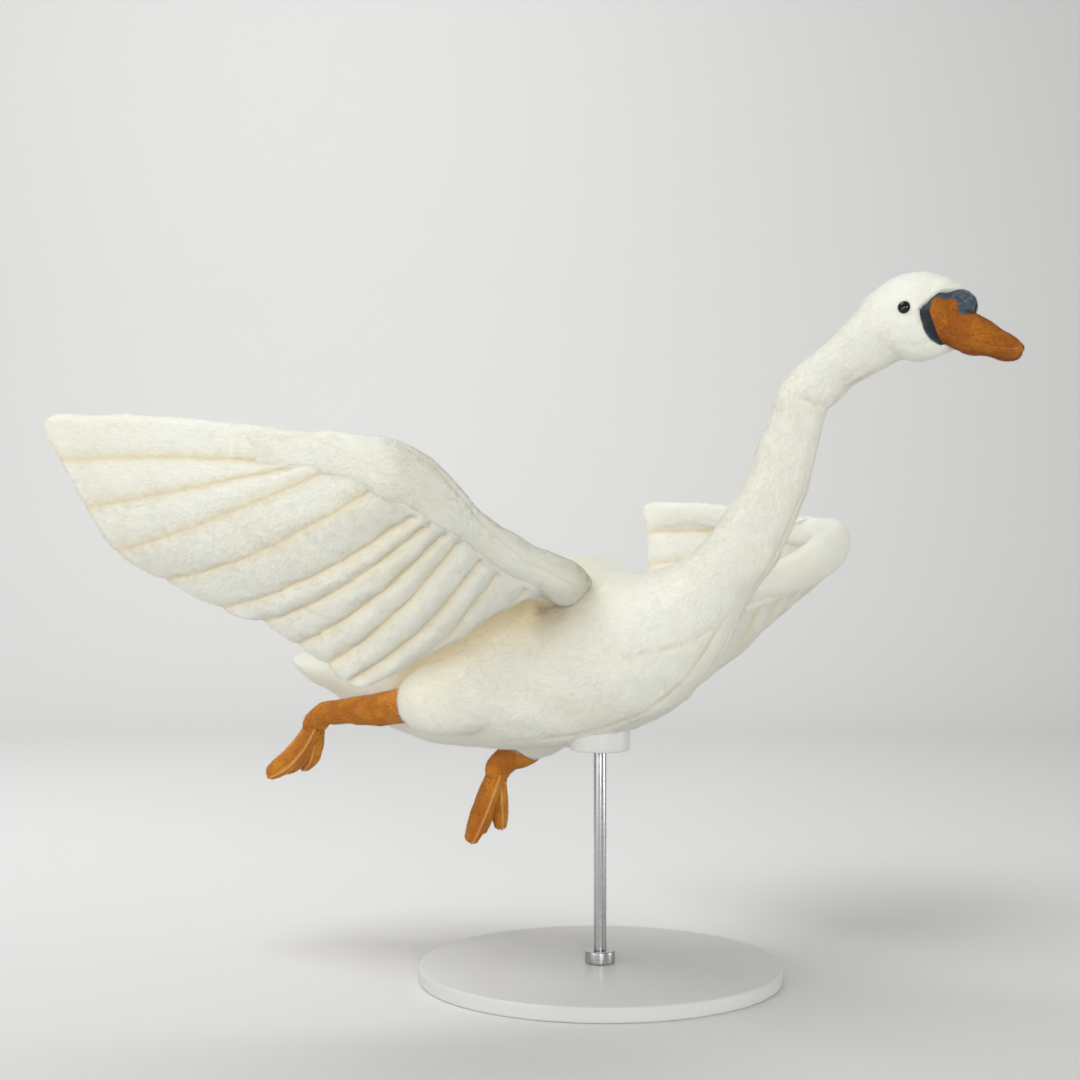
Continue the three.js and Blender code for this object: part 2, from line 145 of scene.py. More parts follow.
class Surface:
    # A closed tube of rings, points[ring, step round the ring]. The last step repeats the first.
    # lie is the way the pile lies, seam is 1 on a stitched line and also carries painted shade
    # under the right wing, valley is painted cream shade, 1 in the dip beside a seam, in a crease
    # and under the right wing, pile is how thickly the pile grows and length how long.
    def __init__(self, points, lie):
        self.points = points
        self.lie = np.broadcast_to(lie, points.shape).copy()
        self.seam = np.zeros(points.shape[:2])
        self.dipShade = np.zeros(points.shape[:2])
        self.pile = np.ones(points.shape[:2])
        self.length = np.ones(points.shape[:2])

    def normals(self):
        # unit(dP/dring x dP/dstep), the step differences going round the closed ring
        ringward = np.gradient(self.points, axis=0)
        inner = self.points[:, :-1]
        stepward = np.roll(inner, -1, 1) - np.roll(inner, 1, 1)
        stepward = np.concatenate([stepward, stepward[:, :1]], 1)
        n = unit(np.cross(ringward, stepward))
        middle = self.points.mean(axis=1, keepdims=True)
        return n * np.sign(((self.points - middle) * n).sum(-1).sum() or 1)

    def push(self, amount):
        # P + amount n
        self.points = self.points + self.normals() * np.asarray(amount)[..., None]


def newMesh(name, corners, faces, fields):
    # smooth faces, given as arrays of corner numbers, with each field's value at every corner
    sizes = np.concatenate([np.full(len(rows), rows.shape[1]) for rows in faces])
    index = np.concatenate([rows.ravel() for rows in faces])
    mesh = bpy.data.meshes.new(name)
    mesh.vertices.add(len(corners))
    mesh.vertices.foreach_set("co", corners.ravel())
    mesh.loops.add(len(index))
    mesh.loops.foreach_set("vertex_index", index)
    mesh.polygons.add(len(sizes))
    mesh.polygons.foreach_set("loop_start", np.cumsum(sizes) - sizes)
    mesh.polygons.foreach_set("use_smooth", np.ones(len(sizes), bool))
    mesh.update(calc_edges=True)
    for key, values in fields.items():
        mesh.attributes.new(key, "FLOAT", "POINT").data.foreach_set("value", values)
    return mesh


def meshFrom(name, surfaces, place=toRow):
    # each surface becomes quads between its rings, closed by a fan of triangles at each end
    corners, quads, fans, seams, dipShades, count = [], [], [], [], [], 0
    for s in surfaces:
        m, n = s.points.shape[0], s.points.shape[1] - 1
        around = s.points[:, :-1].reshape(-1, 3)
        poles = np.stack([s.points[0, :-1].mean(0), s.points[-1, :-1].mean(0)])
        index = count + np.arange(m * n).reshape(m, n)
        beside = np.roll(index, -1, 1)
        quad = np.stack([index[:-1], index[1:], beside[1:], beside[:-1]], -1).reshape(-1, 4)
        first, last = count + m * n, count + m * n + 1
        fan = np.concatenate([
            np.stack([np.full(n, first), index[0], beside[0]], -1),
            np.stack([np.full(n, last), beside[-1], index[-1]], -1)])
        middle = s.points.mean(axis=1, keepdims=True)
        outward = np.cross(s.points[1:-1, 1:] - s.points[1:-1, :-1],
                           s.points[2:, :-1] - s.points[1:-1, :-1])
        if ((s.points[1:-1, :-1] - middle[1:-1]) * outward).sum() > 0:
            quad, fan = quad[:, ::-1], fan[:, ::-1]
        corners += [around, poles]
        quads.append(quad)
        fans.append(fan)
        seams += [s.seam[:, :-1].ravel(), np.zeros(2)]
        dipShades += [s.dipShade[:, :-1].ravel(), np.zeros(2)]
        count += m * n + 2
    # the seam field carries thread tan and painted shade, the valley field painted cream shade
    mesh = newMesh(name, place(np.concatenate(corners)), quads + fans,
                   {"seam": np.concatenate(seams), "dipShade": np.concatenate(dipShades)})
    mesh.validate()
    return mesh


def addPiece(name, mesh, material, nodes=()):
    # an object that rides on the root, in place of the nodes
    piece = bpy.data.objects.new(name, mesh)
    bpy.context.scene.collection.objects.link(piece)
    mesh.materials.append(material)
    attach(piece, "root")
    if nodes:
        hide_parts(*nodes)
    return piece


def addSewn(name, surfaces, fabric, nodes):
    # the padded piece made of the surfaces, shown in place of the nodes
    addPiece(name, meshFrom(name, surfaces), fabric["skin"], nodes)


class Wire:
    # one output socket; +, -, * and ** on either side of it add Math nodes
    def __init__(self, finish, socket):
        self.finish, self.socket = finish, socket

    def maths(self, operation, first, second):
        # the operation on two wires, or on a wire and a number
        return self.finish.add("ShaderNodeMath", {"operation": operation}, {0: first, 1: second})

    def __add__(self, other):
        return self.maths("ADD", self, other)

    def __radd__(self, other):
        return self.maths("ADD", other, self)

    def __sub__(self, other):
        return self.maths("SUBTRACT", self, other)

    def __rsub__(self, other):
        return self.maths("SUBTRACT", other, self)

    def __mul__(self, other):
        return self.maths("MULTIPLY", self, other)

    def __rmul__(self, other):
        return self.maths("MULTIPLY", other, self)

    def __pow__(self, other):
        return self.maths("POWER", self, other)

    def __rpow__(self, other):
        return self.maths("POWER", other, self)


class Finish:
    # a material, and one way to add any node to it
    def __init__(self, name):
        self.material = bpy.data.materials.new(name)
        self.material.use_nodes = True
        self.tree = self.material.node_tree
        self.tree.nodes.clear()
        self.place = self.add("ShaderNodeTexCoord", output="Object")

    def add(self, kind, settings=None, inputs=None, output=0):
        # one node with its settings and inputs; a Wire given as an input is linked
        node = self.tree.nodes.new(kind)
        for key, value in (settings or {}).items():
            setattr(node, key, value)
        for key, value in (inputs or {}).items():
            if isinstance(value, Wire):
                self.tree.links.new(value.socket, node.inputs[key])
            else:
                node.inputs[key].default_value = value
        return Wire(self, node.outputs[output]) if len(node.outputs) else None

    def noise(self, scale, detail=3, roughness=0.55, at=None):
        # noise with scale features to a metre, at the object's own place unless told otherwise
        return self.add("ShaderNodeTexNoise", {}, {
            "Vector": at or self.place, "Scale": scale, "Detail": detail, "Roughness": roughness})

    def between(self, low, high, value):
        # a smooth step: 0 where value is low or less, 1 where it is high or more
        return self.add("ShaderNodeMapRange", {"interpolation_type": "SMOOTHSTEP"},
                        {"Value": value, "From Min": low, "From Max": high})

    def blend(self, factor, first, second, kind="MIX"):
        # first + factor (kind(first, second) - first)
        return self.add("ShaderNodeMix", {"data_type": "RGBA", "blend_type": kind},
                        {0: factor, 6: first, 7: second}, output=2)

    def attribute(self, name):
        # the mesh's field of that name
        return self.add("ShaderNodeAttribute", {"attribute_name": name}, output="Fac")

    def bump(self, height, strength, distance):
        # the normal tilted by the height's slope, with the distance in metres
        return self.add("ShaderNodeBump", {}, {
            "Height": height, "Strength": strength, "Distance": distance})

    def surface(self, **inputs):
        # the shader with these inputs, joined to the output; _ in a name stands for a space
        shader = self.add("ShaderNodeBsdfPrincipled", {}, {
            key.replace("_", " "): value for key, value in inputs.items()})
        self.add("ShaderNodeOutputMaterial", {}, {"Surface": shader})
        return self.material


plushLook = {
    "white": (0.87, 0.873, 0.795, 1), "warm": (0.865, 0.855, 0.745, 1),
    # cream is painted shade for the dips beside seams, the creases and the fold under the right
    # wing; thread is the tan of the stitching, and also painted shade under that wing and along the
    # creases
    "creamShade": (0.84, 0.765, 0.56, 1), "thread": (0.60, 0.48, 0.27, 1),
    "patchScale": 16, "patchEdges": (0.35, 0.75), "creamShadeShare": 0.75, "threadAndShadeShare": 0.7,
    "napScale": 520, "napDetail": 3, "clumpScale": 150, "napBump": (0.5, 0.0008),
    "roughness": 0.95, "pileRoughness": 0.9,
    "rim": 0.25, "rimRoughness": 0.6, "sheen": (1, 1, 1, 1),
}


def plushColour(finish):
    # white pile with soft warm patches, painted cream shade in the dips and under the right wing,
    # and tan along the stitching that is also painted shade under that wing and in the creases
    patches = finish.between(*plushLook["patchEdges"], finish.noise(plushLook["patchScale"], 2))
    colour = finish.blend(patches, plushLook["white"], plushLook["warm"])
    dipShade = finish.attribute("dipShade") * plushLook["creamShadeShare"]
    colour = finish.blend(dipShade, colour, plushLook["creamShade"])
    return finish.blend(finish.attribute("seam") * plushLook["threadAndShadeShare"], colour,
                        plushLook["thread"])


gingerLook = {
    "ginger": (0.47, 0.145, 0.004, 1), "gold": (0.64, 0.25, 0.014, 1),
    "brown": (0.16, 0.036, 0.002, 1), "light": (0.76, 0.37, 0.07, 1),
    "seam": (0.74, 0.44, 0.17, 1),
    "patchScale": 38, "patchEdges": (0.40, 0.68), "fleckScale": 640, "fleckEdges": (0.46, 0.66),
    "fleckShare": 0.6, "lightShare": 0.6, "lightPower": 3,
    # the bill is deeper in colour, from one X to another in metres
    "billTint": (0.88, 0.76, 0.30, 1), "billFrom": (0.24, 0.27),
    "napScale": 900, "napDetail": 2, "napBump": (0.6, 0.0004), "roughness": 0.85,
    "pileRoughness": 0.8,
    "rim": 0.12, "rimRoughness": 0.4, "sheen": (1.0, 0.66, 0.25, 1),
}


def gingerColour(finish):
    # short velvet: ginger with golden rubbed patches and darker brushed flecks, deeper on the bill
    patches = finish.between(*gingerLook["patchEdges"], finish.noise(gingerLook["patchScale"], 3))
    flecks = finish.noise(gingerLook["fleckScale"], 4, 0.7)
    flecks = finish.between(*gingerLook["fleckEdges"], flecks) * gingerLook["fleckShare"]
    tips = finish.attribute("tone") ** gingerLook["lightPower"] * gingerLook["lightShare"]
    colour = finish.blend(patches, gingerLook["ginger"], gingerLook["gold"])
    colour = finish.blend(flecks, colour, gingerLook["brown"])
    colour = finish.blend(tips, colour, gingerLook["light"])
    along = finish.add("ShaderNodeSeparateXYZ", {}, {"Vector": finish.place})
    onBill = finish.between(*gingerLook["billFrom"], along)
    colour = finish.blend(onBill, colour, gingerLook["billTint"], "MULTIPLY")
    return finish.blend(finish.attribute("seam"), colour, gingerLook["seam"])


slateLook = {
    "slate": (0.040, 0.062, 0.088, 1), "faded": (0.15, 0.20, 0.24, 1),
    "dark": (0.016, 0.024, 0.037, 1), "fleckScale": 240, "fleckEdges": (0.35, 0.75),
    "napScale": 900, "napDetail": 2, "napBump": (0.6, 0.0004), "roughness": 0.85,
    "pileRoughness": 0.8,
    "rim": 0.35, "rimRoughness": 0.4, "sheen": (0.75, 0.85, 1.0, 1),
}


def slateColour(finish):
    # grey-blue velvet, paler and flecked on the knob and darker round the cheeks
    flecks = finish.noise(slateLook["fleckScale"], 4, 0.7)
    flecks = finish.between(*slateLook["fleckEdges"], flecks)
    colour = finish.blend(flecks, slateLook["slate"], slateLook["faded"])
    return finish.blend(finish.attribute("seam"), colour, slateLook["dark"])


def makeFabric(name, kind, slot, colourOf, look):
    # the woven skin, with its nap as a bump, and the pile that stands on it
    skin, pile = Finish(name + kind), Finish(name + "Pile")
    rim = {"Sheen_Weight": look["rim"], "Sheen_Roughness": look["rimRoughness"],
           "Sheen_Tint": look["sheen"]}
    nap = skin.noise(look["napScale"], look["napDetail"])
    if "clumpScale" in look:
        nap = nap + skin.noise(look["clumpScale"], 2)
    skin.surface(Base_Color=colourOf(skin), Roughness=look["roughness"],
                 Normal=skin.bump(nap, *look["napBump"]), **rim)
    pile.surface(Base_Color=colourOf(pile), Roughness=look["pileRoughness"], **rim)
    return {"skin": skin.material, "pile": pile.material, "slot": slot}


eyeLook = {
    "dark": (0.002, 0.0015, 0.0015, 1), "pale": (0.007, 0.005, 0.004, 1), "smearScale": 300,
    "roughness": (0.03, 0.04),  # least, and how much the pattern adds
}
paintLook = {
    "dark": (0.66, 0.66, 0.64, 1), "pale": (0.70, 0.70, 0.68, 1), "cloudScale": 9,
    "smearScale": 60, "roughness": (0.32, 0.15), "peelScale": 700, "peelBump": (0.15, 0.0002),
}
steelLook = {
    "dark": (0.42, 0.43, 0.44, 1), "pale": (0.60, 0.61, 0.62, 1), "brushing": (60, 60, 2600),
    "roughness": (0.2, 0.2), "brushBump": (0.2, 0.0001),
}


def hardFinish(finish, look, clouds, smears, **inputs):
    # colour from one pattern and roughness from another
    least, more = look["roughness"]
    return finish.surface(Base_Color=finish.blend(clouds, look["dark"], look["pale"]),
                          Roughness=smears * more + least, **inputs)


def makeEyeGloss():
    # black glass bead
    finish = Finish("eyeGloss")
    smear = finish.noise(eyeLook["smearScale"], 3)
    return hardFinish(finish, eyeLook, smear, smear, Specular_IOR_Level=0.5)


def makeStandPaint():
    # pale satin paint with a fine orange-peel skin
    finish = Finish("standPaint")
    peel = finish.noise(paintLook["peelScale"], 2)
    return hardFinish(finish, paintLook, finish.noise(paintLook["cloudScale"], 3),
                      finish.noise(paintLook["smearScale"], 3),
                      Normal=finish.bump(peel, *paintLook["peelBump"]))


def makeRodSteel():
    # brushed round the rod: fine bands along Z
    finish = Finish("rodSteel")
    stretched = finish.add("ShaderNodeMapping", {}, {
        "Vector": finish.place, "Scale": steelLook["brushing"]})
    bands = finish.noise(1, 3, at=stretched)
    return hardFinish(finish, steelLook, bands, bands, Metallic=1.0,
                      Normal=finish.bump(bands, *steelLook["brushBump"]))


white = makeFabric("white", "Plush", "white_plush", plushColour, plushLook)
ginger = makeFabric("ginger", "Velvet", "ginger_plush", gingerColour, gingerLook)
slate = makeFabric("slate", "Velvet", "slate_plush", slateColour, slateLook)
eyeGloss, standPaint, rodSteel = makeEyeGloss(), makeStandPaint(), makeRodSteel()
print("materials made")


shot = {
    # metres in the row's frame, and millimetres for the lens and the sensor
    "eye": (0.8857, -1.2116, 0.350), "towards": (-0.6157, 0.7880, 0.0), "farthest": 50,
    "lens": 62.5, "sensor": 36,
}
room = {
    "behind": 2.8, "bend": 0.9, "height": 3.6, "halfWidth": 4.5, "front": 9.0,
    "bendSteps": 24, "paint": (0.77, 0.77, 0.765, 1), "roughness": 0.9,
    "sky": (0.82, 0.815, 0.80, 1), "skyStrength": 0.38,
}
lamps = [
    # name, place and aim (right, forward, up) from the middle of the bird, size, watts, and the
    # angle of its beam in degrees
    ("keyBox", (-1.35, -2.0, 0.5), (0, 0, 0), 0.4, 7, 180),
    ("topBox", (-1.1, -0.35, 1.7), (0, 0, 0), 1.3, 8, 180),
    ("leftBox", (-1.8, -1.2, 0.0), (0, 0, 0), 1.2, 7, 180),
    ("rightBox", (2.1, -0.4, -0.05), (0, 0, 0), 0.8, 10, 180),
    ("frontBox", (0.5, -3.9, 0.75), (0, 0, 0), 1.2, 8.2, 70),
    ("wallBox", (-0.8, 0.5, 1.9), (-0.3, 2.8, 0.1), 2.0, 33, 180),
]


def addAt(name, data, wide, high, back, place):
    # an object at the place, with its own X, Y and Z along wide, high and back
    item = bpy.data.objects.new(name, data)
    bpy.context.scene.collection.objects.link(item)
    turn = np.eye(4)
    turn[:3] = np.stack([wide, high, back, place], -1)
    item.matrix_world = Matrix(turn.tolist())
    return item


def makeCamera():
    # looks along towards from the eye, level, with across = towards x up to its right
    data = bpy.data.cameras.new("camera")
    data.lens, data.sensor_width, data.sensor_height = shot["lens"], shot["sensor"], shot["sensor"]
    data.sensor_fit = "HORIZONTAL"
    data.clip_end = shot["farthest"]
    forward = np.array(shot["towards"])
    across = np.cross(forward, (0, 0, 1))
    bpy.context.scene.camera = addAt("camera", data, across, (0, 0, 1), -forward, shot["eye"])
    return across, forward


def makeRoom(across, forward):
    # the floor runs back, bends up round a quarter circle and climbs as a wall
    turn = np.linspace(0, np.pi / 2, room["bendSteps"])
    back = room["behind"] - room["bend"]
    profile = np.concatenate([
        [[-room["front"], 0]],
        np.stack([back + room["bend"] * np.sin(turn), room["bend"] * (1 - np.cos(turn))], -1),
        [[room["behind"], room["height"]]]])
    edges = np.array([-room["halfWidth"], room["halfWidth"]])
    points = (profile[:, None, :1] * forward + edges[None, :, None] * across
              + profile[:, None, 1:] * np.array([0, 0, 1]))
    index = np.arange(len(profile) * 2).reshape(-1, 2)
    faces = np.stack([index[:-1, 0], index[:-1, 1], index[1:, 1], index[1:, 0]], -1)
    mesh = bpy.data.meshes.new("room")
    mesh.from_pydata(points.reshape(-1, 3).tolist(), [], faces.tolist())
    mesh.shade_smooth()
    finish = Finish("roomPaint")
    finish.surface(Base_Color=room["paint"], Roughness=room["roughness"])
    mesh.materials.append(finish.material)
    backdrop = bpy.data.objects.new("room", mesh)
    bpy.context.scene.collection.objects.link(backdrop)


def makeLamps(across, forward):
    # each disc stands at middle + (right, forward, up).place and faces middle + the same of aim
    middle = np.array([0, 0, birdPlace["height"] / 1000])
    axes = np.array([across, forward, (0, 0, 1)])
    for name, spot, aim, size, watts, beam in lamps:
        data = bpy.data.lights.new(name, "AREA")
        data.shape, data.size, data.energy, data.spread = "DISK", size, watts, np.radians(beam)
        place = middle + np.array(spot) @ axes
        back = unit(place - middle - np.array(aim) @ axes)
        wide = unit(np.cross((0, 0, 1), back))
        addAt(name, data, wide, np.cross(back, wide), back, place).visible_camera = False
    world = bpy.data.worlds.new("studio")
    world.use_nodes = True
    sky = world.node_tree.nodes["Background"]
    sky.inputs["Color"].default_value = room["sky"]
    sky.inputs["Strength"].default_value = room["skyStrength"]
    bpy.context.scene.world = world
    bpy.context.scene.view_settings.view_transform = "Standard"


across, forward = makeCamera()
makeRoom(across, forward)
makeLamps(across, forward)
print("camera, room and lamps placed")


nearby = 0.05  # rows of a line between which its direction is taken


def flatHint(*directions):
    # a hint that turns smoothly through the given directions as the share runs 0..1
    directions = np.array(directions, float)
    if len(directions) == 1:
        return lambda share: np.broadcast_to(directions[0], (len(share), 3))
    return lambda share: sampleRows(directions, share * (len(directions) - 1))


def loft(line, around, rings, poles, hint=flatHint((0, 1, 0)), cap=6, blunt=(1.0, 1.0)):
    # ring r, angle q: C(r) + w cos(q) W + h sin(q) H, with W the hint made square to the line
    # and H = T x W. The ends are domes: ring k at pole share sin(k), size cos(k)^blunt.
    t = np.linspace(0, len(line) - 1, rings)
    x, y, z, w, h = np.moveaxis(sampleRows(line, t), -1, 0)
    centre = np.stack([x, y, z], -1)
    last = len(line) - 1
    ahead, behind = (sampleRows(line, np.clip(t + d, 0, last)) for d in (nearby, -nearby))
    along = unit(ahead - behind)
    along = unit(along[:, :3])
    wanted = hint(t / last)
    wide = unit(wanted - (wanted * along).sum(-1, keepdims=True) * along)
    high = np.cross(along, wide)
    k = np.linspace(0, np.pi / 2, cap + 2)[1:-1]
    shares = [(0, poles[0], k[::-1], blunt[0]), (-1, poles[1], k, blunt[1])]
    parts = []
    for end, pole, angle, power in shares:
        size = np.cos(angle)[:, None] ** power
        middle = centre[end] + np.sin(angle)[:, None] * (np.asarray(pole) - centre[end])
        parts.append((middle, size * w[end], size * h[end]))
    centre = np.concatenate([parts[0][0], centre, parts[1][0]])
    w = np.concatenate([parts[0][1][:, 0], w, parts[1][1][:, 0]])[:, None, None]
    h = np.concatenate([parts[0][2][:, 0], h, parts[1][2][:, 0]])[:, None, None]
    onDomes = np.clip(np.arange(-cap, rings + cap), 0, rings - 1)
    wide, high, along = wide[onDomes], high[onDomes], along[onDomes]
    q = np.linspace(0, 2 * np.pi, around + 1)[None, :, None]
    points = centre[:, None] + w * np.cos(q) * wide[:, None] + h * np.sin(q) * high[:, None]
    surface = Surface(points, along[:, None])
    surface.angle = np.broadcast_to(q[..., 0], points.shape[:2])
    surface.share = np.concatenate([np.zeros(cap), t, np.full(cap, last)])
    surface.wide, surface.high, surface.centre = wide, high, centre
    return surface


def thinned(line, depth):
    # the same line with both half sizes reduced by depth
    line = np.array(line, float)
    line[:, 3:5] -= depth
    return line


def portion(line, start, end, rows):
    # the stretch of a line from row number start to row number end
    return sampleRows(line, np.linspace(start, end, rows))


def endPoles(line, length):
    # the line's first middle, and its last one carried straight on by the length
    return [line[0, :3], line[-1, :3] + length * unit(line[-1, :3] - line[-2, :3])]


legs = {
    # middle line from inside the trunk to past the ankle: x, y, z, half width, half height
    "right": {
        "line": [
            (-60, -36, -38, 28, 28), (-84, -50, -44, 32, 31.5), (-110, -57, -51, 30, 30),
            (-136, -60, -57, 21, 21), (-152, -60, -60, 15.5, 15.5), (-180, -60, -65, 14, 14),
            (-214, -60, -68.5, 11.5, 11.5), (-240, -60, -72, 10.5, 10.5),
            (-253, -60, -80, 11, 10.5), (-257, -60, -90, 11, 9), (-266, -60, -101, 11, 6)],
        "cuff": 3.95, "ankle": 8.8, "heel": (-253.5, -60, -82.2),
        # tip, half width, half thickness
        "toes": [(-297.5, -70, -127.6, 12.5, 8.8), (-288, -58, -124, 9.5, 7),
                 (-282, -44, -121, 9.5, 8)],
        "footAcross": (-0.6, 0.67, 0.44), "footBow": (2.9, 2.3, -3.4),
        "dimples": [(-68, -77, -41)], "crease": [(-107.6, -85.7, -55.4), (-103.6, -74.4, -73.5)],
    },
    "left": {
        "line": [
            (-64, 38, -42, 28, 28), (-80, 48, -54, 32, 32), (-98, 56, -72, 27, 27),
            (-112, 60, -88, 19, 19), (-124, 60, -99, 13.5, 13.5), (-137, 60, -105, 12.5, 12.5),
            (-147, 60, -114, 12, 11.5), (-150, 60, -125, 11.5, 9.5), (-155, 60, -138, 11, 6)],
        "cuff": 3.75, "ankle": 6.95, "heel": (-148.8, 60, -118.1),
        "toes": [(-167.5, 50, -180, 12.5, 8.8), (-165, 62, -172, 9.5, 7), (-155, 76, -168, 9.5, 8)],
        "footAcross": (-0.82, 0.55, 0.16), "footBow": (0, 0, 0),
        "dimples": [(-62, 78, -47)], "crease": [(-90, 84, -70), (-84, 72, -90)],
    },
}
thighShape = {
    # the skin runs over this part of the thigh, at this share of its height, with soft edges
    "part": 0.66, "balls": 20, "share": 0.75, "soft": 15, "proud": 0.6, "mostLift": 6, "lifts": 3,
    "fillet": 3.0, "filletReach": 10, "rows": 24, "around": 96, "rings": 110, "tip": 3,
    # depth in the body's skin and in the thigh's own, and half width
    "dimple": (3.0, 3.2, 8), "crease": (1.5, 1.2, 4.5), "lumps": [(40, 31, 0.9), (16, 32, 0.35)],
}
shankShape = {
    "lumps": [(26, 41, 0.45), (9, 42, 0.18)], "rows": 24, "around": 64, "rings": 110,
    "overlap": 0.25, "tip": (0, 0, -3), "ankleDepth": 2.0, "ankleReach": 2.5,
}


def aboveThigh(points, leg):
    # proud - least of (|p - c| - r) over balls c, r along the first part of the thigh's middle line
    balls = portion(leg["line"], 0, leg["cuff"] * thighShape["part"], thighShape["balls"])
    gaps = [np.linalg.norm(points - ball[:3], axis=-1) - ball[3:5].mean() for ball in balls]
    return thighShape["proud"] - np.min(gaps, axis=0)


def dimpleAndCrease(skin, leg, which):
    # depth bell(d, width), d the distance to each dimple and to the crease
    depth, width = thighShape["dimple"][which], thighShape["dimple"][2]
    for dimple in leg["dimples"]:
        skin.push(-depth * bell(np.linalg.norm(skin.points - dimple, axis=-1), width))
    depth, width = thighShape["crease"][which], thighShape["crease"][2]
    skin.push(-depth * bell(distanceTo(skin.points, leg["crease"]), width))


def trunkAt(x):
    # height of the trunk's middle, its half width and its half height at x
    line = np.array(body["line"][:body["trunkRows"]], float)
    return [np.interp(x, line[:, 0], line[:, k]) for k in (2, 3, 4)]


def toTrunk(points):
    # (rho - 1) (w + h) / 2, rho^2 = (y / w)^2 + ((z - c) / h)^2 with w, h and c of the trunk at x
    middle, w, h = trunkAt(points[..., 0])
    rho = np.hypot(points[..., 1] / w, (points[..., 2] - middle) / h)
    return (rho - 1) * (w + h) / 2


body = {
    # middle line from tail to forehead: x, y, z, half width, half height
    "line": [
        (-319, 0, -28, 26, 8), (-308, 0, -30, 38, 13), (-288, 0, -35, 44, 16),
        (-266, 0, -39, 43, 18), (-246, 0, -43, 40, 26), (-216, 0, -44, 43, 38),
        (-178, 0, -40, 52, 53), (-123, 0, -28, 63, 66), (-60, 0, -16, 71, 73),
        (0, 0, -9, 69, 69), (46, 0, 2, 60, 57), (80, 0, 22, 47, 42),
        (112, 0, 53, 33, 30), (138, 0, 83, 27, 26), (158, 0, 118, 24, 23),
        (168, 0, 152, 23, 22.5), (178, 0, 184, 22, 22), (197, 0, 203, 21, 20.5),
        (218, 0, 216, 20.5, 20), (236, 0, 227, 22, 23), (250, 0, 236, 26, 29),
        (264, 0, 240.3, 28.5, 33), (279, 0, 241, 28, 32.3), (290, 0, 241, 23.5, 28),
        (297, 0, 240.5, 20, 25), (304.5, 0, 240, 13, 20)],
    "poles": [(-324, 0, -28), (308.5, 0, 240)],
    "around": 160, "rings": 380, "fill": 0.85, "trunkRows": 12,
    "lumps": [(90, 3, 1.1), (34, 4, 0.4), (13, 5, 0.15)],
    # from x, to x and how much: the head is packed tighter, its pile is shorter and sinks less
    "quiet": (225, 250, 0.6), "shortPile": (215, 262, 0.4), "raised": (225, 262, 0.6),
    "eye": (273, 25.5, 243), "eyeRadius": 5, "eyeDent": (1.6, 6), "eyeBare": (3.0, 4.4),
    "chin": (296, 0, 214), "chinStretch": (1, 1.6, 1), "chinBulge": (2.5, 10),
    "wingRoot": (-14, -16, 60), "wingRootSize": (26, 17, 17), "wingRootRise": 13,
    # stitched lines and creases on the bird's right side; the left side has the same
    "frontSeam": [
        (262, 0, 208), (236, 0, 203), (218, 0, 194.5), (205.7, 0, 183.7), (197, 0, 168),
        (189.7, 0, 147.5), (185.8, 0, 132.9), (182.4, 0, 120.2), (174.8, 0, 100.4),
        (160.6, 0, 71.8), (150, 0, 55.8), (134.4, 0, 34.3), (120.6, -8, 15.7)],
    "bellySeam": [
        (120.6, -8, 15.7), (112, -10, 2), (91.4, -11, -27.8), (70.9, -14, -44.2),
        (42.8, -18, -61.2), (21.1, -22, -70.3), (-14, -28, -76.3), (-60, -30, -85),
        (-110, -26, -90)],
    "dartSeam": [(120.4, -12.1, 14.9), (104, -27.4, 1.1), (82.8, -42.6, -6.8), (61.2, -52, -14.6)],
    "thighSeam": [
        (-92, -67, -18), (-80, -69, -16.5), (-65.8, -69.5, -21.5), (-55.4, -69, -39),
        (-57, -64, -62), (-70, -57, -73), (-87.6, -60, -76)],
    "bendCrease": [(186, -21, 183), (196.1, -14, 178.5), (201.1, 0, 176)],
    "cheekCrease": [(275.1, -16.9, 216.9), (285.5, -14.6, 219.4)],
    # line, depth, half width, share of thread colour; on the two creases that tan is painted shade,
    # and sew adds painted cream shade beside every line
    "sewn": [
        ("frontSeam", 0.9, 2.4, 0.8), ("bellySeam", 1.2, 3.0, 0.8), ("dartSeam", 1.0, 2.2, 0.9),
        ("thighSeam", 1.2, 5, 0.15), ("bendCrease", 2.0, 3.0, 0.12),
        ("cheekCrease", 1.0, 2.6, 0.12)],
    # the lip above the bend's crease: how far from it, height, half width
    "bendLip": ((4, 0, 9), 1.2, 9),
    # where the right wing is folded against the flank, and painted shade is laid along it; the left
    # wing stands clear
    "underWing": [
        (-145, -58, -26), (-129, -60, -15), (-109, -63, -7), (-90, -64, 2), (-70, -63, 13),
        (-51, -61, 21), (-31, -60, 26), (-15, -57, 29)],
    # depth there, or strength of the painted cream and tan shade, and half width
    "foldDepth": (3, 12), "foldCreamShade": (1.0, 36), "foldTanShade": (1.3, 27),
    # the planes the white plush ends on: a point and the way each one faces
    "endPlanes": [
        ((283, 0, 241.5), (0.97, 0, 0.24)), ((283, 0, 241.5), (0.77, 0, -0.64)),
        ((294.6, 0, 256.2), (0.26, 0, -0.965)), ((296, 0, 217.5), (0.25, 0, 0.97))],
    "endDepth": 9, "endOver": (-0.6, 3), "endBare": (-0.2, 0.8),
}
threadWidth, shortWidth = 0.9, 1.6  # half widths of the thread's colour and of the flattened pile
# the share of painted cream shade beside a seam, and the share of pile length lost on it
dipShadeShare, shortShare = 0.7, 0.5


def inFrontOfPlush(points):
    # least of the signed distances (p - point).n, more than 0 in front of every plane
    return np.minimum.reduce([
        (points - np.array(point)) @ unit(np.array(facing)) for point, facing in body["endPlanes"]])


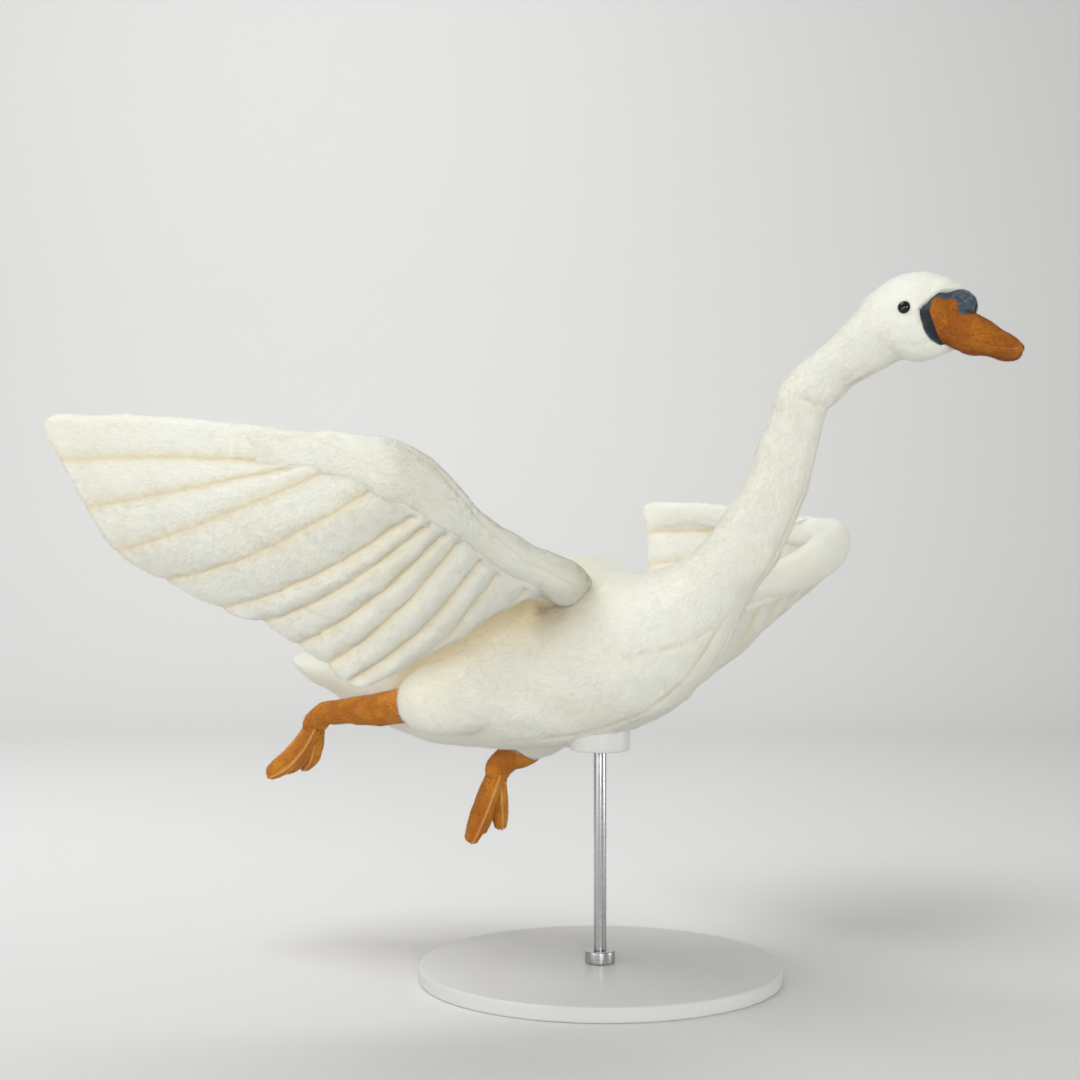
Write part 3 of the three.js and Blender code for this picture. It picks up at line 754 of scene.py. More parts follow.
def sew(surface, line, depth, width, tint):
    # a stitched groove: push in by depth bell(d, width), d the distance to the line, with the
    # thread's tan along it and painted cream shade in the dip beside it
    d = np.minimum(distanceTo(surface.points, line), distanceTo(surface.points, mirrored(line)))
    surface.push(-depth * bell(d, width))
    surface.seam = np.maximum(surface.seam, tint * bell(d, threadWidth))
    surface.dipShade = np.maximum(surface.dipShade, dipShadeShare * tint * bell(d, width))
    surface.length *= 1 - shortShare * tint * bell(d, shortWidth)


def shadeUnderWing(skin):
    # painted shade where the right wing folds against the flank: cream and tan to strength bell(d,
    # width), d the distance to that fold
    fold = distanceTo(skin.points, body["underWing"])
    (creamShade, creamShadeWidth), (tanShade, tanShadeWidth) = body["foldCreamShade"], body["foldTanShade"]
    skin.dipShade = np.maximum(skin.dipShade, creamShade * bell(fold, creamShadeWidth))
    skin.seam = np.maximum(skin.seam, tanShade * bell(fold, tanShadeWidth))
    return fold


def headShare(x, name):
    # how much smoothStep(from, to, x)
    low, high, much = body[name]
    return much * smoothStep(low, high, x)


def makeBody():
    # a tube round the middle line, raised and dented by sums of depth bell(d, width), with the
    # thighs' tops joined in and the face end pushed in behind the end planes
    line = thinned(body["line"], coatDepth)
    line[:, 3:5] += headShare(line[:, :1], "raised")
    skin = loft(line, body["around"], body["rings"], body["poles"])
    skin.lie = -skin.lie  # the pile lies from the head to the tail
    skin.push(lumps(skin.points, body["lumps"]) * (1 - headShare(skin.points[..., 0], "quiet")))
    chin = np.linalg.norm((skin.points - body["chin"]) / body["chinStretch"], axis=-1)
    rise, width = body["chinBulge"]
    skin.push(rise * bell(chin, width))
    for name, depth, width, tint in body["sewn"]:
        sew(skin, body[name], depth, width, tint)
    offset, rise, width = body["bendLip"]
    skin.push(rise * bell(distanceTo(skin.points, np.array(body["bendCrease"]) + offset), width))
    for leg in legs.values():  # the skin runs over the upper part of each thigh
        rise = smoothMax(0, aboveThigh(skin.points, leg), thighShape["soft"])
        skin.push(rise * thighShape["share"])
        for _ in range(thighShape["lifts"]):
            skin.push(np.clip(aboveThigh(skin.points, leg), 0, thighShape["mostLift"]))
        dimpleAndCrease(skin, leg, 0)
    for side in sides.values():  # root of the upper wing on the back
        root = (skin.points - mirrored(body["wingRoot"], side)) / body["wingRootSize"]
        skin.push(body["wingRootRise"] * np.exp(-(root ** 2).sum(-1)))
    # the fold under the right wing is dented, and painted shade is laid along it
    depth, width = body["foldDepth"]
    skin.push(-depth * bell(shadeUnderWing(skin), width))
    eyes = np.array([mirrored(body["eye"], side) for side in sides.values()])
    toEye = np.linalg.norm(skin.points[..., None, :] - eyes, axis=-1).min(-1)
    depth, width = body["eyeDent"]
    skin.push(-depth * bell(toEye, width))
    skin.pile *= smoothStep(*body["eyeBare"], toEye)
    front = inFrontOfPlush(skin.points)
    skin.push(-body["endDepth"] * smoothStep(*body["endOver"], front))
    skin.pile *= 1 - smoothStep(*body["endBare"], front)
    skin.length *= 1 - headShare(skin.points[..., 0], "shortPile")
    return skin


bodySkin = makeBody()
addSewn("bodySkin", [bodySkin], white,
        ("tail", "trunk", "neck_lower", "neck_middle", "neck_upper", "head"))
print("body, neck and head sewn")


wing = {
    # stuffed leading edge, root to tip: x, y, z, half width, half thickness
    "edge": [
        (9, -46, 39, 14.5, 12.5), (15, -68, 44, 16, 13.5), (20, -100, 50, 15, 14),
        (24, -152, 60, 15, 13.5), (32, -212, 77, 16, 13.5), (38, -262, 97.5, 20, 14),
        (34, -299, 110, 19, 14), (7, -318, 116, 16, 12), (-39, -328, 117, 15, 10.5),
        (-76, -336, 122, 15, 9.5), (-148, -350, 129, 17, 8.5), (-198, -362, 129.5, 18, 8)],
    "edgePoles": [(4, -32, 36), (-212, -366, 129)],
    # across the roll towards the fan, at even steps from root to tip
    "across": [
        (-0.45, -0.33, -0.84), (-0.45, -0.33, -0.84), (-0.12, 0.02, -0.99), (-0.06, 0.22, -0.97)],
    "edgeAround": 72, "edgeRings": 200, "edgeLumps": [(45, 11, 0.7), (18, 12, 0.15)],
    "edgeFill": 0.8, "fanFill": 0.5,
    # sewn ribs of the fan, hand to root: start under the leading edge, trailing end, bulge
    "ribs": [
        (-10, -320, 129, -246, -373, 145.5, 0),
        (-30.4, -327, 110, -221, -365.5, 113, 1),
        (-12.8, -322.1, 110, -205, -353, 79.5, 8),
        (4.8, -318, 107, -190, -336, 49, 12),
        (28, -304, 94, -170, -306, 30, 16),
        (32.2, -268, 80.1, -137.2, -281.2, 12.1, 18),
        (31.4, -252.7, 75.3, -109.2, -265, 3, 18),
        (30.3, -234, 70.4, -92, -246.1, -12, 17),
        (28.8, -217.2, 65.3, -76.1, -229.8, -25.1, 16),
        (24.1, -189.6, 53.3, -70.1, -216.6, -37.2, 14),
        (20.3, -165.8, 45, -61.2, -199.3, -37.2, 12),
        (17.2, -127.5, 37.3, -37.5, -157.1, 7, 9),
        (14, -92, 36, -20, -108, 40, 5),
        (7, -58, 31, -24, -60, 30, 2)],
    "channelSteps": 20, "ribStep": 0.1, "endBit": 0.006, "fanAround": 160, "tuckIn": 9,
    "ribHalf": 1.0, "rimRound": 9, "scallop": 1.0, "pucker": (15, 21, 0.6), "puckerReach": 9,
    # the fan's lumps, its rib's thread, the half width of the painted cream shade beside a rib, and
    # then its shorter pile
    "fanLumps": [(48, 22, 0.6), (12, 23, 0.15)], "ribThread": (0.5, 1.6), "ribShadeHalf": 5.0,
    "ribShort": 2.4, "startRound": 4, "endRound": 0.16, "leastHalf": 0.02,
    # how far along a rib its middle is taken, how much the steps crowd to both ends, mm over
    # which the sewing begins, the channels' power, and the scallops' power and level
    "middleShare": 0.6, "rimCrowd": 0.55, "sewnFade": (0, 8), "channelPower": 0.7,
    "scallopShape": (0.8, 0.4), "rimFrom": 0.9,
    # channel number, half thickness
    "stuffing": [
        (0, 5.0), (1, 4.4), (1.5, 3.8), (3.5, 3.8), (6, 6.4), (9.5, 6.4), (11, 3.5), (13, 2)],
    # channel number, upwards bend of its upper line
    "bow": [(0, 5), (1, 3), (2, 0)],
    "tipCorner": 22, "cornerChannels": 0.6,
    # the roll: fuller by this on the arm; the hand is this flat and this narrow. Each fades in
    # between two shares of the roll's length.
    "edgeFuller": 2.5, "handFlat": 0.42, "handNarrow": 0.62,
    "fullerFade": (0.5, 0.65), "flatFade": (0.5, 0.8), "narrowFade": (0.72, 0.92),
    "seamTurn": [(0, 100), (2, 106), (3, 112), (4, 136), (6, 150)],  # row, degrees round the roll
    "rollRadius": 14, "rollThread": {right: 0.4, left: 0.1}, "rollGroove": {right: 1.1, left: 0.6},
    "rollGrooveHalf": 2.6, "rollShort": 0.4, "armEnds": (5.0, 6.6),
    # how blunt the roll's two ends are, how far its pile lies back, how sharp the fan's line is
    "edgeBlunt": (0.7, 0.45), "lieBack": 0.5, "fanLine": 60,
}
leftWing = {
    # its front hangs lower round |y| = middle
    "sag": 18, "sagMiddle": 235, "sagReach": 125, "frontFrom": (-60, 10),
    # its hand reaches less far back: short at this height and more above it, from x down to x
    "short": 11, "lean": 0.22, "shortHeight": 113, "shortRange": (5, 20), "handSpan": (-60, -210),
    # its wrist reaches further forward and is raised by a share of that
    "wrist": 11, "wristMiddle": 285, "wristReach": 40, "wristRise": 0.4,
}


def placeWing(rows, side):
    # the left wing is mirrored; its front hangs by sag (1 - ((|y| - middle) / reach)^2), never
    # raised, its hand is drawn forward by short + lean (z - height) in proportion to -x, and its
    # wrist by wrist bell(|y| - middle, reach)
    rows = mirrored(rows, side)
    if side == left:
        w = leftWing
        x, y, z = np.moveaxis(rows[..., :3].copy(), -1, 0)
        inFront = smoothStep(*w["frontFrom"], x)
        drawn = np.clip(w["lean"] * (z - w["shortHeight"]) + w["short"], *w["shortRange"])
        start, end = w["handSpan"]
        wrist = w["wrist"] * bell(np.abs(y) - w["wristMiddle"], w["wristReach"]) * inFront
        rows[..., 0] += drawn * np.clip((x - start) / (end - start), 0, 1) + wrist
        reach = (np.abs(y) - w["sagMiddle"]) / w["sagReach"]
        rows[..., 2] += w["wristRise"] * wrist - w["sag"] * np.maximum(0, 1 - reach ** 2) * inFront
    return rows


def makeEdge(side):
    # the roll is made fuller towards the fan along the arm, and flatter along the hand; its seam
    # is a groove of depth bell(d, half) at an angle round the roll
    line = placeWing(thinned(wing["edge"], coatDepth), side)
    share = np.linspace(0, 1, len(line))[:, None]
    across = mirrored(wing["across"], side)
    fuller = wing["edgeFuller"] * (1 - smoothStep(*wing["fullerFade"], share))
    line[:, :3] += fuller * unit(flatHint(*across)(share[:, 0]))
    line[:, 3:4] += fuller
    line[:, 3:4] *= 1 - (1 - wing["handNarrow"]) * smoothStep(*wing["narrowFade"], share)
    line[:, 4:] *= 1 - (1 - wing["handFlat"]) * smoothStep(*wing["flatFade"], share)
    poles = placeWing(wing["edgePoles"], side)
    skin = loft(line, wing["edgeAround"], wing["edgeRings"], poles, flatHint(*across), cap=10,
                blunt=wing["edgeBlunt"])
    skin.lie = unit(skin.lie + wing["lieBack"] * skin.wide[:, None])  # outwards and back
    skin.push(lumps(skin.points, wing["edgeLumps"]))
    onArm = 1 - smoothStep(*wing["armEnds"], skin.share)[:, None]
    turn = np.radians(valueAt(wing["seamTurn"], skin.share))[:, None] * side
    off = np.abs((skin.angle - turn + np.pi) % (2 * np.pi) - np.pi) * wing["rollRadius"]
    groove = bell(off, wing["rollGrooveHalf"]) * onArm
    skin.push(-wing["rollGroove"][side] * groove)
    skin.seam = wing["rollThread"][side] * bell(off, threadWidth) * onArm
    # painted cream shade in the crease where the fan begins
    skin.dipShade = np.exp(-((1 - np.cos(skin.angle)) * wing["fanLine"]) ** 2)  # where the fan begins
    skin.length *= 1 - wing["rollShort"] * groove
    return skin


def makeFan(side):
    # column a is a cross-section along a rib: C(b) = start + b (end - start) + n camber sin(pi b),
    # surface = C +- n half(a, b), half = rib + (full - rib) |sin(pi a)|^power, and the first half
    # channel is rounded instead of sewn: rounded(2a). The hand's top edge bows upwards.
    ribs = np.array(wing["ribs"], float)
    starts, ends = placeWing(ribs[:, :3], side), placeWing(ribs[:, 3:6], side)
    rows = np.hstack([starts, ends, ribs[:, 6:]])
    last = len(rows) - 1
    endBit = wing["endBit"] * last
    closing = endBit * np.linspace(0, 1, 5)[:-1] ** 2
    a = np.concatenate([closing, np.linspace(endBit, last - endBit, last * wing["channelSteps"]),
                        last - closing[::-1]])
    step = wing["ribStep"]
    row, ahead, behind = (sampleRows(rows, np.clip(a + d, 0, last)) for d in (0, step, -step))
    end = row[:, 3:6]
    start = row[:, :3] + wing["tuckIn"] * unit(row[:, :3] - end)
    rib = end - start

    def middleOf(r):
        # start + share (end - start)
        return r[:, :3] + wing["middleShare"] * (r[:, 3:6] - r[:, :3])

    normal = unit(np.cross(rib, middleOf(ahead) - middleOf(behind))) * side
    length = np.linalg.norm(rib, axis=1, keepdims=True)
    turn = np.linspace(0, 2 * np.pi, wing["fanAround"] + 1)[None]
    straight = np.where(turn < np.pi, turn / np.pi, 2 - turn / np.pi)
    crowd = wing["rimCrowd"]
    b = (1 - crowd) * straight + crowd * (1 - np.cos(turn)) / 2
    along = b * length  # mm from the rib's start
    wave = np.where(a < 0.5, rounded(2 * a), np.abs(np.sin(np.pi * a)))[:, None]
    sewn = smoothStep(*wing["sewnFade"], along)
    swell = 1 - sewn * (1 - wave ** wing["channelPower"])
    full = valueAt(wing["stuffing"], a)[:, None]
    half = wing["ribHalf"] + (full - wing["ribHalf"]) * swell
    half = half * rounded((length - along) / wing["rimRound"])
    half = half * rounded(along / wing["startRound"])
    toEnd = np.minimum(a, last - a)[:, None] / wing["endRound"]
    half = half * np.maximum(rounded(toEnd), math.sqrt(wing["leastHalf"]))
    camber = row[:, 6:7] * np.sin(np.pi * b)
    atRim = smoothStep(wing["rimFrom"], 1.0, b)
    power, level = wing["scallopShape"]
    corner = 1 - rounded(a / wing["cornerChannels"])[:, None]
    scallop = wing["scallop"] * (wave ** power - level)
    reach = along + (scallop - wing["tipCorner"] * corner) * atRim
    bow = valueAt(wing["bow"], a)[:, None] * np.sin(np.pi * b)
    upwards = unit(middleOf(behind) - middleOf(ahead))
    upperOrLower = np.where(turn < np.pi, 1.0, -1.0)
    points = (start[:, None] + (reach / length)[..., None] * rib[:, None]
              + bow[..., None] * upwards[:, None]
              + (camber + upperOrLower * half)[..., None] * normal[:, None])
    skin = Surface(points, unit(rib)[:, None])
    # puckers run across each seam and die away from it: noise(p) exp(-d / reach)
    width = np.linalg.norm(np.gradient(points, axis=0), axis=-1) / np.gradient(a)[:, None]
    off = np.abs(a - np.maximum(np.round(a), 1))[:, None] * width
    pucker = lumps(points, [wing["pucker"]]) * np.exp(-off / wing["puckerReach"]) * sewn
    skin.push(pucker + lumps(points, wing["fanLumps"]))
    thread, threadHalf = wing["ribThread"]
    skin.seam = thread * bell(off, threadHalf) * sewn
    # painted cream shade in the dip beside each sewn rib
    skin.dipShade = bell(off, wing["ribShadeHalf"]) * sewn
    skin.length *= 1 - shortShare * bell(off, wing["ribShort"]) * sewn
    return skin


wingSkins = {}
for sideName, side in sides.items():
    edgeSkin, fanSkin = makeEdge(side), makeFan(side)
    wingSkins[sideName] = edgeSkin, fanSkin
    for part, skin, node, fill in (("wingEdge", edgeSkin, "edge", wing["edgeFill"]),
                                   ("wingFan", fanSkin, "panel", wing["fanFill"])):
        nodes = [f"wing_{sideName}_{length}_{node}" for length in ("arm", "hand")]
        addSewn(part + sideName.capitalize(), [skin], white, nodes)
print("wings sewn")


foot = {
    # half sizes along a toe as shares of its own, at these shares of its length
    "shares": (0, 0.3, 0.65, 0.9, 1), "swell": (0.9, 1.05, 1.05, 0.9, 0.75), "reach": 0.93,
    "around": 72, "rings": 60, "lumps": [(12, 51, 0.25)], "instepLumps": [(12, 52, 0.25)],
    "instepOverlap": 0.1, "instepRows": 10, "instepRings": 24, "instepTip": 14,
    # the sewn edge stands out, with a dip beside it; widths are in sines of the angle round the toe
    "flange": 0.9, "flangeWidth": 0.13, "dip": 0.8, "dipAt": 0.34, "thread": 0.6,
    "threadWidth": 0.10, "threadBare": 0.8, "blunt": (1.0, 0.7),
}


def makeThigh(leg):
    # a tube round the first rows of the leg's line, with a fillet where it nears the trunk
    line = portion(thinned(leg["line"], coatDepth), 0, leg["cuff"], thighShape["rows"])
    skin = loft(line, thighShape["around"], thighShape["rings"],
                endPoles(line, thighShape["tip"]), cap=8)
    skin.push(lumps(skin.points, thighShape["lumps"]))
    clear = np.maximum(toTrunk(skin.points), 0)
    skin.push(thighShape["fillet"] * bell(clear, thighShape["filletReach"]))
    dimpleAndCrease(skin, leg, 1)
    # painted shade under the right wing, as on the body
    shadeUnderWing(skin)
    return skin


def makeShank(leg):
    # a tube from just inside the cuff to the ankle, pulled in by depth bell(d, reach) there
    line = portion(thinned(leg["line"], velvetDepth), leg["cuff"] - shankShape["overlap"],
                   leg["ankle"], shankShape["rows"])
    skin = loft(line, shankShape["around"], shankShape["rings"],
                [line[0, :3], line[-1, :3] + shankShape["tip"]])
    skin.push(lumps(skin.points, shankShape["lumps"]))
    skin.lie = -skin.lie  # brushed up towards the cuff
    atAnkle = np.linalg.norm(skin.centre - line[-1, :3], axis=-1)[:, None]
    skin.push(-shankShape["ankleDepth"] * bell(atAnkle, shankShape["ankleReach"]))
    return skin


def makeToe(leg, tip):
    # from the heel to the toe's tip along heel + s (tip - heel) + sin(pi s) bow, with the sewn edge
    # standing out as a flange: r += flange bell(sin q, width) - dip bell(|sin q| - dipAt, width)
    heel, tip, half = (np.array(x, float) for x in (leg["heel"], tip[:3], tip[3:]))
    share = np.array(foot["shares"])[:, None] * foot["reach"]
    middle = heel + share * (tip - heel) + np.sin(np.pi * share) * np.array(leg["footBow"])
    line = np.hstack([middle, np.array(foot["swell"])[:, None] * half - velvetDepth])
    skin = loft(line, foot["around"], foot["rings"], [heel, tip], flatHint(leg["footAcross"]),
                cap=10, blunt=foot["blunt"])
    fromEdge = np.abs(np.sin(skin.angle))
    rim = bell(fromEdge, foot["flangeWidth"])
    beside = bell(fromEdge - foot["dipAt"], foot["flangeWidth"])
    skin.push(lumps(skin.points, foot["lumps"]) + foot["flange"] * rim - foot["dip"] * beside)
    skin.seam = foot["thread"] * bell(fromEdge, foot["threadWidth"])
    skin.pile *= 1 - foot["threadBare"] * skin.seam
    return skin


def makeInstep(leg):
    # the short stretch from the ankle into the toes
    line = portion(thinned(leg["line"], velvetDepth), leg["ankle"] - foot["instepOverlap"],
                   len(leg["line"]) - 1, foot["instepRows"])
    skin = loft(line, shankShape["around"], foot["instepRings"],
                endPoles(line, foot["instepTip"]))
    skin.push(lumps(skin.points, foot["instepLumps"]))
    return skin


legSkins = {}
for sideName, leg in legs.items():
    thigh, shank = makeThigh(leg), makeShank(leg)
    footSkins = [makeInstep(leg)] + [makeToe(leg, tip) for tip in leg["toes"]]
    legSkins[sideName] = thigh, shank, footSkins
    for part, skins, fabric in (("thigh", [thigh], white), ("leg", [shank], ginger),
                                ("foot", footSkins, ginger)):
        addSewn(part + sideName.capitalize(), skins, fabric, (f"{part}_{sideName}",))
print("legs and feet sewn")


bill = {
    # middle line, root to tip: x, y, z, half width, half height
    "line": [
        (282, 0, 236, 15, 15), (286, 0, 233, 18, 15), (296, 0, 233, 20, 16.5),
        (308, 0, 228, 19, 16.5), (320, 0, 223.5, 16.5, 13.2), (333, 0, 217, 14.5, 10),
        (342, 0, 213.2, 12.5, 7.6), (346.5, 0, 211.5, 8.5, 5)],
    "poles": [(279, 0, 237), (348.5, 0, 211.5)],
    "around": 150, "rings": 150, "fill": 0.9, "lumps": [(17, 61, 0.4), (7, 62, 0.15)],
    "rootUp": (-0.343, 0, 0.939), "tipUp": (0.32, 0, 0.95),
    # knob, bridge and cheek band: middle, half sizes, tilt, and how softly each joins the bill
    "balls": [
        ((301.5, 0, 245.5), (13.5, 12.5, 12), 0, 5.0), ((292, 0, 238.5), (12, 24, 19.5), 0, 1.5),
        ((289, 0, 234.5), (9, 25.5, 19.5), 0.35, 1.0)],
    # height of the mouth line: x, z
    "mouth": [
        (285, 227), (295.6, 224.3), (306.2, 220.6), (315.5, 218.1), (327.8, 214.6),
        (338.2, 211.6), (344, 211), (350, 211.5)],
    # outline of the ginger velvet in side view: x, z
    "ginger": [
        (290.5, 248), (293, 250), (305.5, 249.5), (307.5, 243), (309.2, 237), (313, 238.8),
        (316, 241), (322, 246), (360, 240), (360, 190), (297, 190), (296.3, 215), (295.6, 224.3),
        (294.1, 231), (291.4, 239.2)],
    # where a fabric ends: depth, and the two distances inside its edge that it fades between
    "edgeRound": (0.7, -0.2, 2.2), "edgeSunk": (3, -1.2, 0), "edgeBare": (-0.3, 0.3),
    # thread colour of the mouth seam, its height above the line and half width
    "mouthThread": (0.55, 0.4, 0.5), "mouthLumps": [(16, 60, 0.3)],
    "cheekDark": (246, 238), "knobFrom": 303,  # the slate darkens between these heights, up to X
}


def ellipsoidReach(centre, direction, middle, radii, tilt):
    # distance along direction to the far side of an ellipsoid: with o = (c - m) / r and
    # e = d / r, s = (-o.e + sqrt((o.e)^2 - e.e (o.o - 1))) / e.e, or 0 where it misses
    c, s = math.cos(tilt), math.sin(tilt)
    back = np.array([[c, 0, s], [0, 1, 0], [-s, 0, c]])
    o = (centre - np.array(middle)) @ back.T / np.array(radii)
    e = direction @ back.T / np.array(radii)
    oe, ee, oo = (o * e).sum(-1), (e * e).sum(-1), (o * o).sum(-1)
    root = oe ** 2 - ee * (oo - 1)
    return np.where(root > 0, (-oe + np.sqrt(np.maximum(root, 0))) / ee, 0)


def signedToOutline(x, z, outline):
    # distance to a closed outline in side view, more than 0 inside it
    outline = np.array(outline, float)
    flat = np.stack([x, z], -1)
    closed = np.vstack([outline, outline[:1]])
    inside = np.zeros(x.shape, bool)
    for (x0, z0), (x1, z1) in zip(closed[:-1], closed[1:]):
        if z0 != z1:
            crosses = (z0 > z) != (z1 > z)
            inside ^= crosses & (x < x0 + (z - z0) * (x1 - x0) / (z1 - z0))
    return np.where(inside, 1, -1) * distanceTo(flat, closed)


def makeFaceForm():
    # rings round the bill's line whose radius is the smooth greatest of bill and balls
    form = loft(thinned(bill["line"], velvetDepth), bill["around"], bill["rings"], bill["poles"],
                cap=8)
    share = (form.share / form.share[-1])[:, None]
    up = unit(np.array(bill["rootUp"]) * (1 - share) + np.array(bill["tipUp"]) * share)
    q = form.angle[..., None]
    radius = np.linalg.norm(form.points - form.centre[:, None], axis=-1)
    direction = np.cos(q) * np.array([0.0, 1, 0]) + np.sin(q) * up[:, None]
    centre = np.broadcast_to(form.centre[:, None], form.points.shape)
    for middle, radii, tilt, soft in bill["balls"]:
        radius = smoothMax(radius, ellipsoidReach(centre, direction, middle, radii, tilt), soft)
    form.points = centre + radius[..., None] * direction
    form.lie = np.broadcast_to(unit(np.gradient(form.centre, axis=0))[:, None], form.points.shape)
    return form


def makeFacePieces():
    # each fabric is the whole form, sunk wherever another fabric shows
    form = makeFaceForm()
    p = form.points
    ginger = signedToOutline(p[..., 0], p[..., 2], bill["ginger"])
    mouthLine = valueAt(bill["mouth"], p[..., 0])
    above = p[..., 2] - mouthLine + lumps(p, bill["mouthLumps"])
    uneven = lumps(p, bill["lumps"])
    shown = {"facePatch": -ginger, "billUpper": np.minimum(ginger, above),
             "billLower": np.minimum(ginger, -above)}
    pieces = {}
    for name, inside in shown.items():
        skin = Surface(p.copy(), form.lie)
        skin.push(uneven)
        skin.push(sum(depth * (smoothStep(low, high, inside) - 1)
                      for depth, low, high in (bill["edgeRound"], bill["edgeSunk"])))
        skin.pile *= smoothStep(*bill["edgeBare"], inside)
        if name == "billUpper":
            thread, height, width = bill["mouthThread"]
            skin.seam = thread * bell(above - height, width) * (inside > -width)
        if name == "facePatch":
            skin.seam = smoothStep(*bill["cheekDark"], p[..., 2]) * (p[..., 0] < bill["knobFrom"])
        pieces[name] = skin
    return pieces


faceSkins = makeFacePieces()
for name, fabric, node in (("facePatch", slate, "face_patch"), ("billUpper", ginger, "bill_upper"),
                           ("billLower", ginger, "bill_lower")):
    addSewn(name, [faceSkins[name]], fabric, (node,))


eyeShape = {
    # place outwards and half size, and the two ends, all in radii
    "rings": [(-0.8, 0.6), (-0.35, 0.93), (0, 1), (0.45, 0.88)], "poles": (-1, 0.92),
    "around": 48, "steps": 24,
}


def makeEye(side):
    # a bead: middle + out r along Y and half size wide r
    x, y, z = body["eye"]
    r = body["eyeRadius"]
    line = [(x, side * -(y + out * r), z, wide * r, wide * r) for out, wide in eyeShape["rings"]]
    poles = [(x, side * -(y + out * r), z) for out in eyeShape["poles"]]
    return loft(line, eyeShape["around"], eyeShape["steps"], poles, flatHint((1, 0, 0)), cap=10)


for sideName, side in sides.items():
    name = "eye" + sideName.capitalize()
    addPiece(name, meshFrom(name, [makeEye(side)]), eyeGloss, ("eye_" + sideName,))
print("face sewn")


stand = {
    # piece, node, radius, bevel, material, slot; heights come from the node
    "pieces": [
        ("standBase", "stand_base", 145, 2, standPaint, "stand_paint"),
        ("standCollar", "stand_collar", 12, 1, rodSteel, "stand_steel"),
        ("standRod", "stand_rod", 5, 0.3, rodSteel, "stand_steel"),
        ("standSaddle", "stand_saddle", 24, 1.5, standPaint, "stand_paint")],
    "saddleThickness": 9, "saddleLeast": 3, "saddleSpan": (-0.9, 0.9), "segments": 128,
    "bevelSteps": 6, "flatRings": (0.02, 0.5, 0.9),  # shares of the flat's radius
}


def turned(profile, segments):
    # profile points (r, z) spun about Z: (r cos q, r sin q, z)
    profile = np.array(profile, float)
    q = np.linspace(0, 2 * np.pi, segments + 1)
    points = np.stack([profile[:, :1] * np.cos(q), profile[:, :1] * np.sin(q),
                       np.repeat(profile[:, 1:], segments + 1, 1)], -1)
    return Surface(points, np.array([0.0, 0, 1]))


def roundedProfile(radius, low, high, bevel):
    # bottom middle, out to the rim, up with both edges rounded by quarter circles, top middle
    q = np.linspace(0, np.pi / 2, stand["bevelSteps"])
    lower = np.stack([radius - bevel + bevel * np.sin(q), low + bevel - bevel * np.cos(q)], -1)
    upper = np.stack([radius - bevel + bevel * np.cos(q), high - bevel + bevel * np.sin(q)], -1)
    flat = np.array(stand["flatRings"])[:, None] * (radius - bevel)
    floor = np.hstack([flat, np.full(flat.shape, low)])
    top = np.hstack([flat[::-1], np.full(flat.shape, high)])
    return np.concatenate([floor, lower, upper, top])


def cupUnderBelly(shape, low):
    # heights above low are stretched so that the disc's top meets the belly:
    # z_belly = c - h sqrt(1 - (y / w)^2) in the bird's frame
    x, y, z = np.moveaxis(shape.points, -1, 0)
    tall = stand["saddleThickness"]
    middle, w, h = trunkAt(x)
    cosBank, sinBank = math.cos(birdPlace["bank"]), math.sin(birdPlace["bank"])
    across = y * cosBank + (low + tall - birdPlace["height"]) * sinBank
    under = middle - h * np.sqrt(1 - np.clip(across / w, *stand["saddleSpan"]) ** 2)
    belly = across * sinBank + under * cosBank + birdPlace["height"]
    shape.points[..., 2] = low + (z - low) / tall * np.maximum(belly - low, stand["saddleLeast"])


def makeStand():
    # each piece is turned between its node's lowest and highest Z, in mm
    for name, node, radius, bevel, material, slot in stand["pieces"]:
        low, high = (corner[2] * 1000 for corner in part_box(node))
        saddle = name == "standSaddle"
        high = low + stand["saddleThickness"] if saddle else high
        shape = turned(roundedProfile(radius, low, high, bevel), stand["segments"])
        if saddle:
            cupUnderBelly(shape, low)
        mesh = meshFrom(name, [shape], lambda points: points / 1000)
        addPiece(name, mesh, material, (node,))


makeStand()
print("stand turned")


coat = {
    # length and width in mm, lift, spread and swirl in degrees, and how far normals stray
    "white": {"length": 3.2, "width": 0.42, "lift": 18, "spread": 18, "swirl": 5, "stray": 0.15},
    "velvet": {"length": 1.3, "width": 0.26, "lift": 24, "spread": 30, "swirl": 20, "stray": 0.4},
    "trianglesMost": 190000, "root": 0.35, "patch": 0.0015, "swirlSize": 16, "swirlSeed": 71,
    # lift as a share: least, how much a random draw adds and the draw's power; then the ranges
    # of length and width as shares
    "lifts": (0.4, 1.8, 3), "lengths": (0.7, 1.25), "widths": (0.7, 1.3),
}
blades = {
    "body": 350000, "wing": 335000, "thigh": 45000, "leg": 55000, "patch": 20000, "bill": 50000,
}


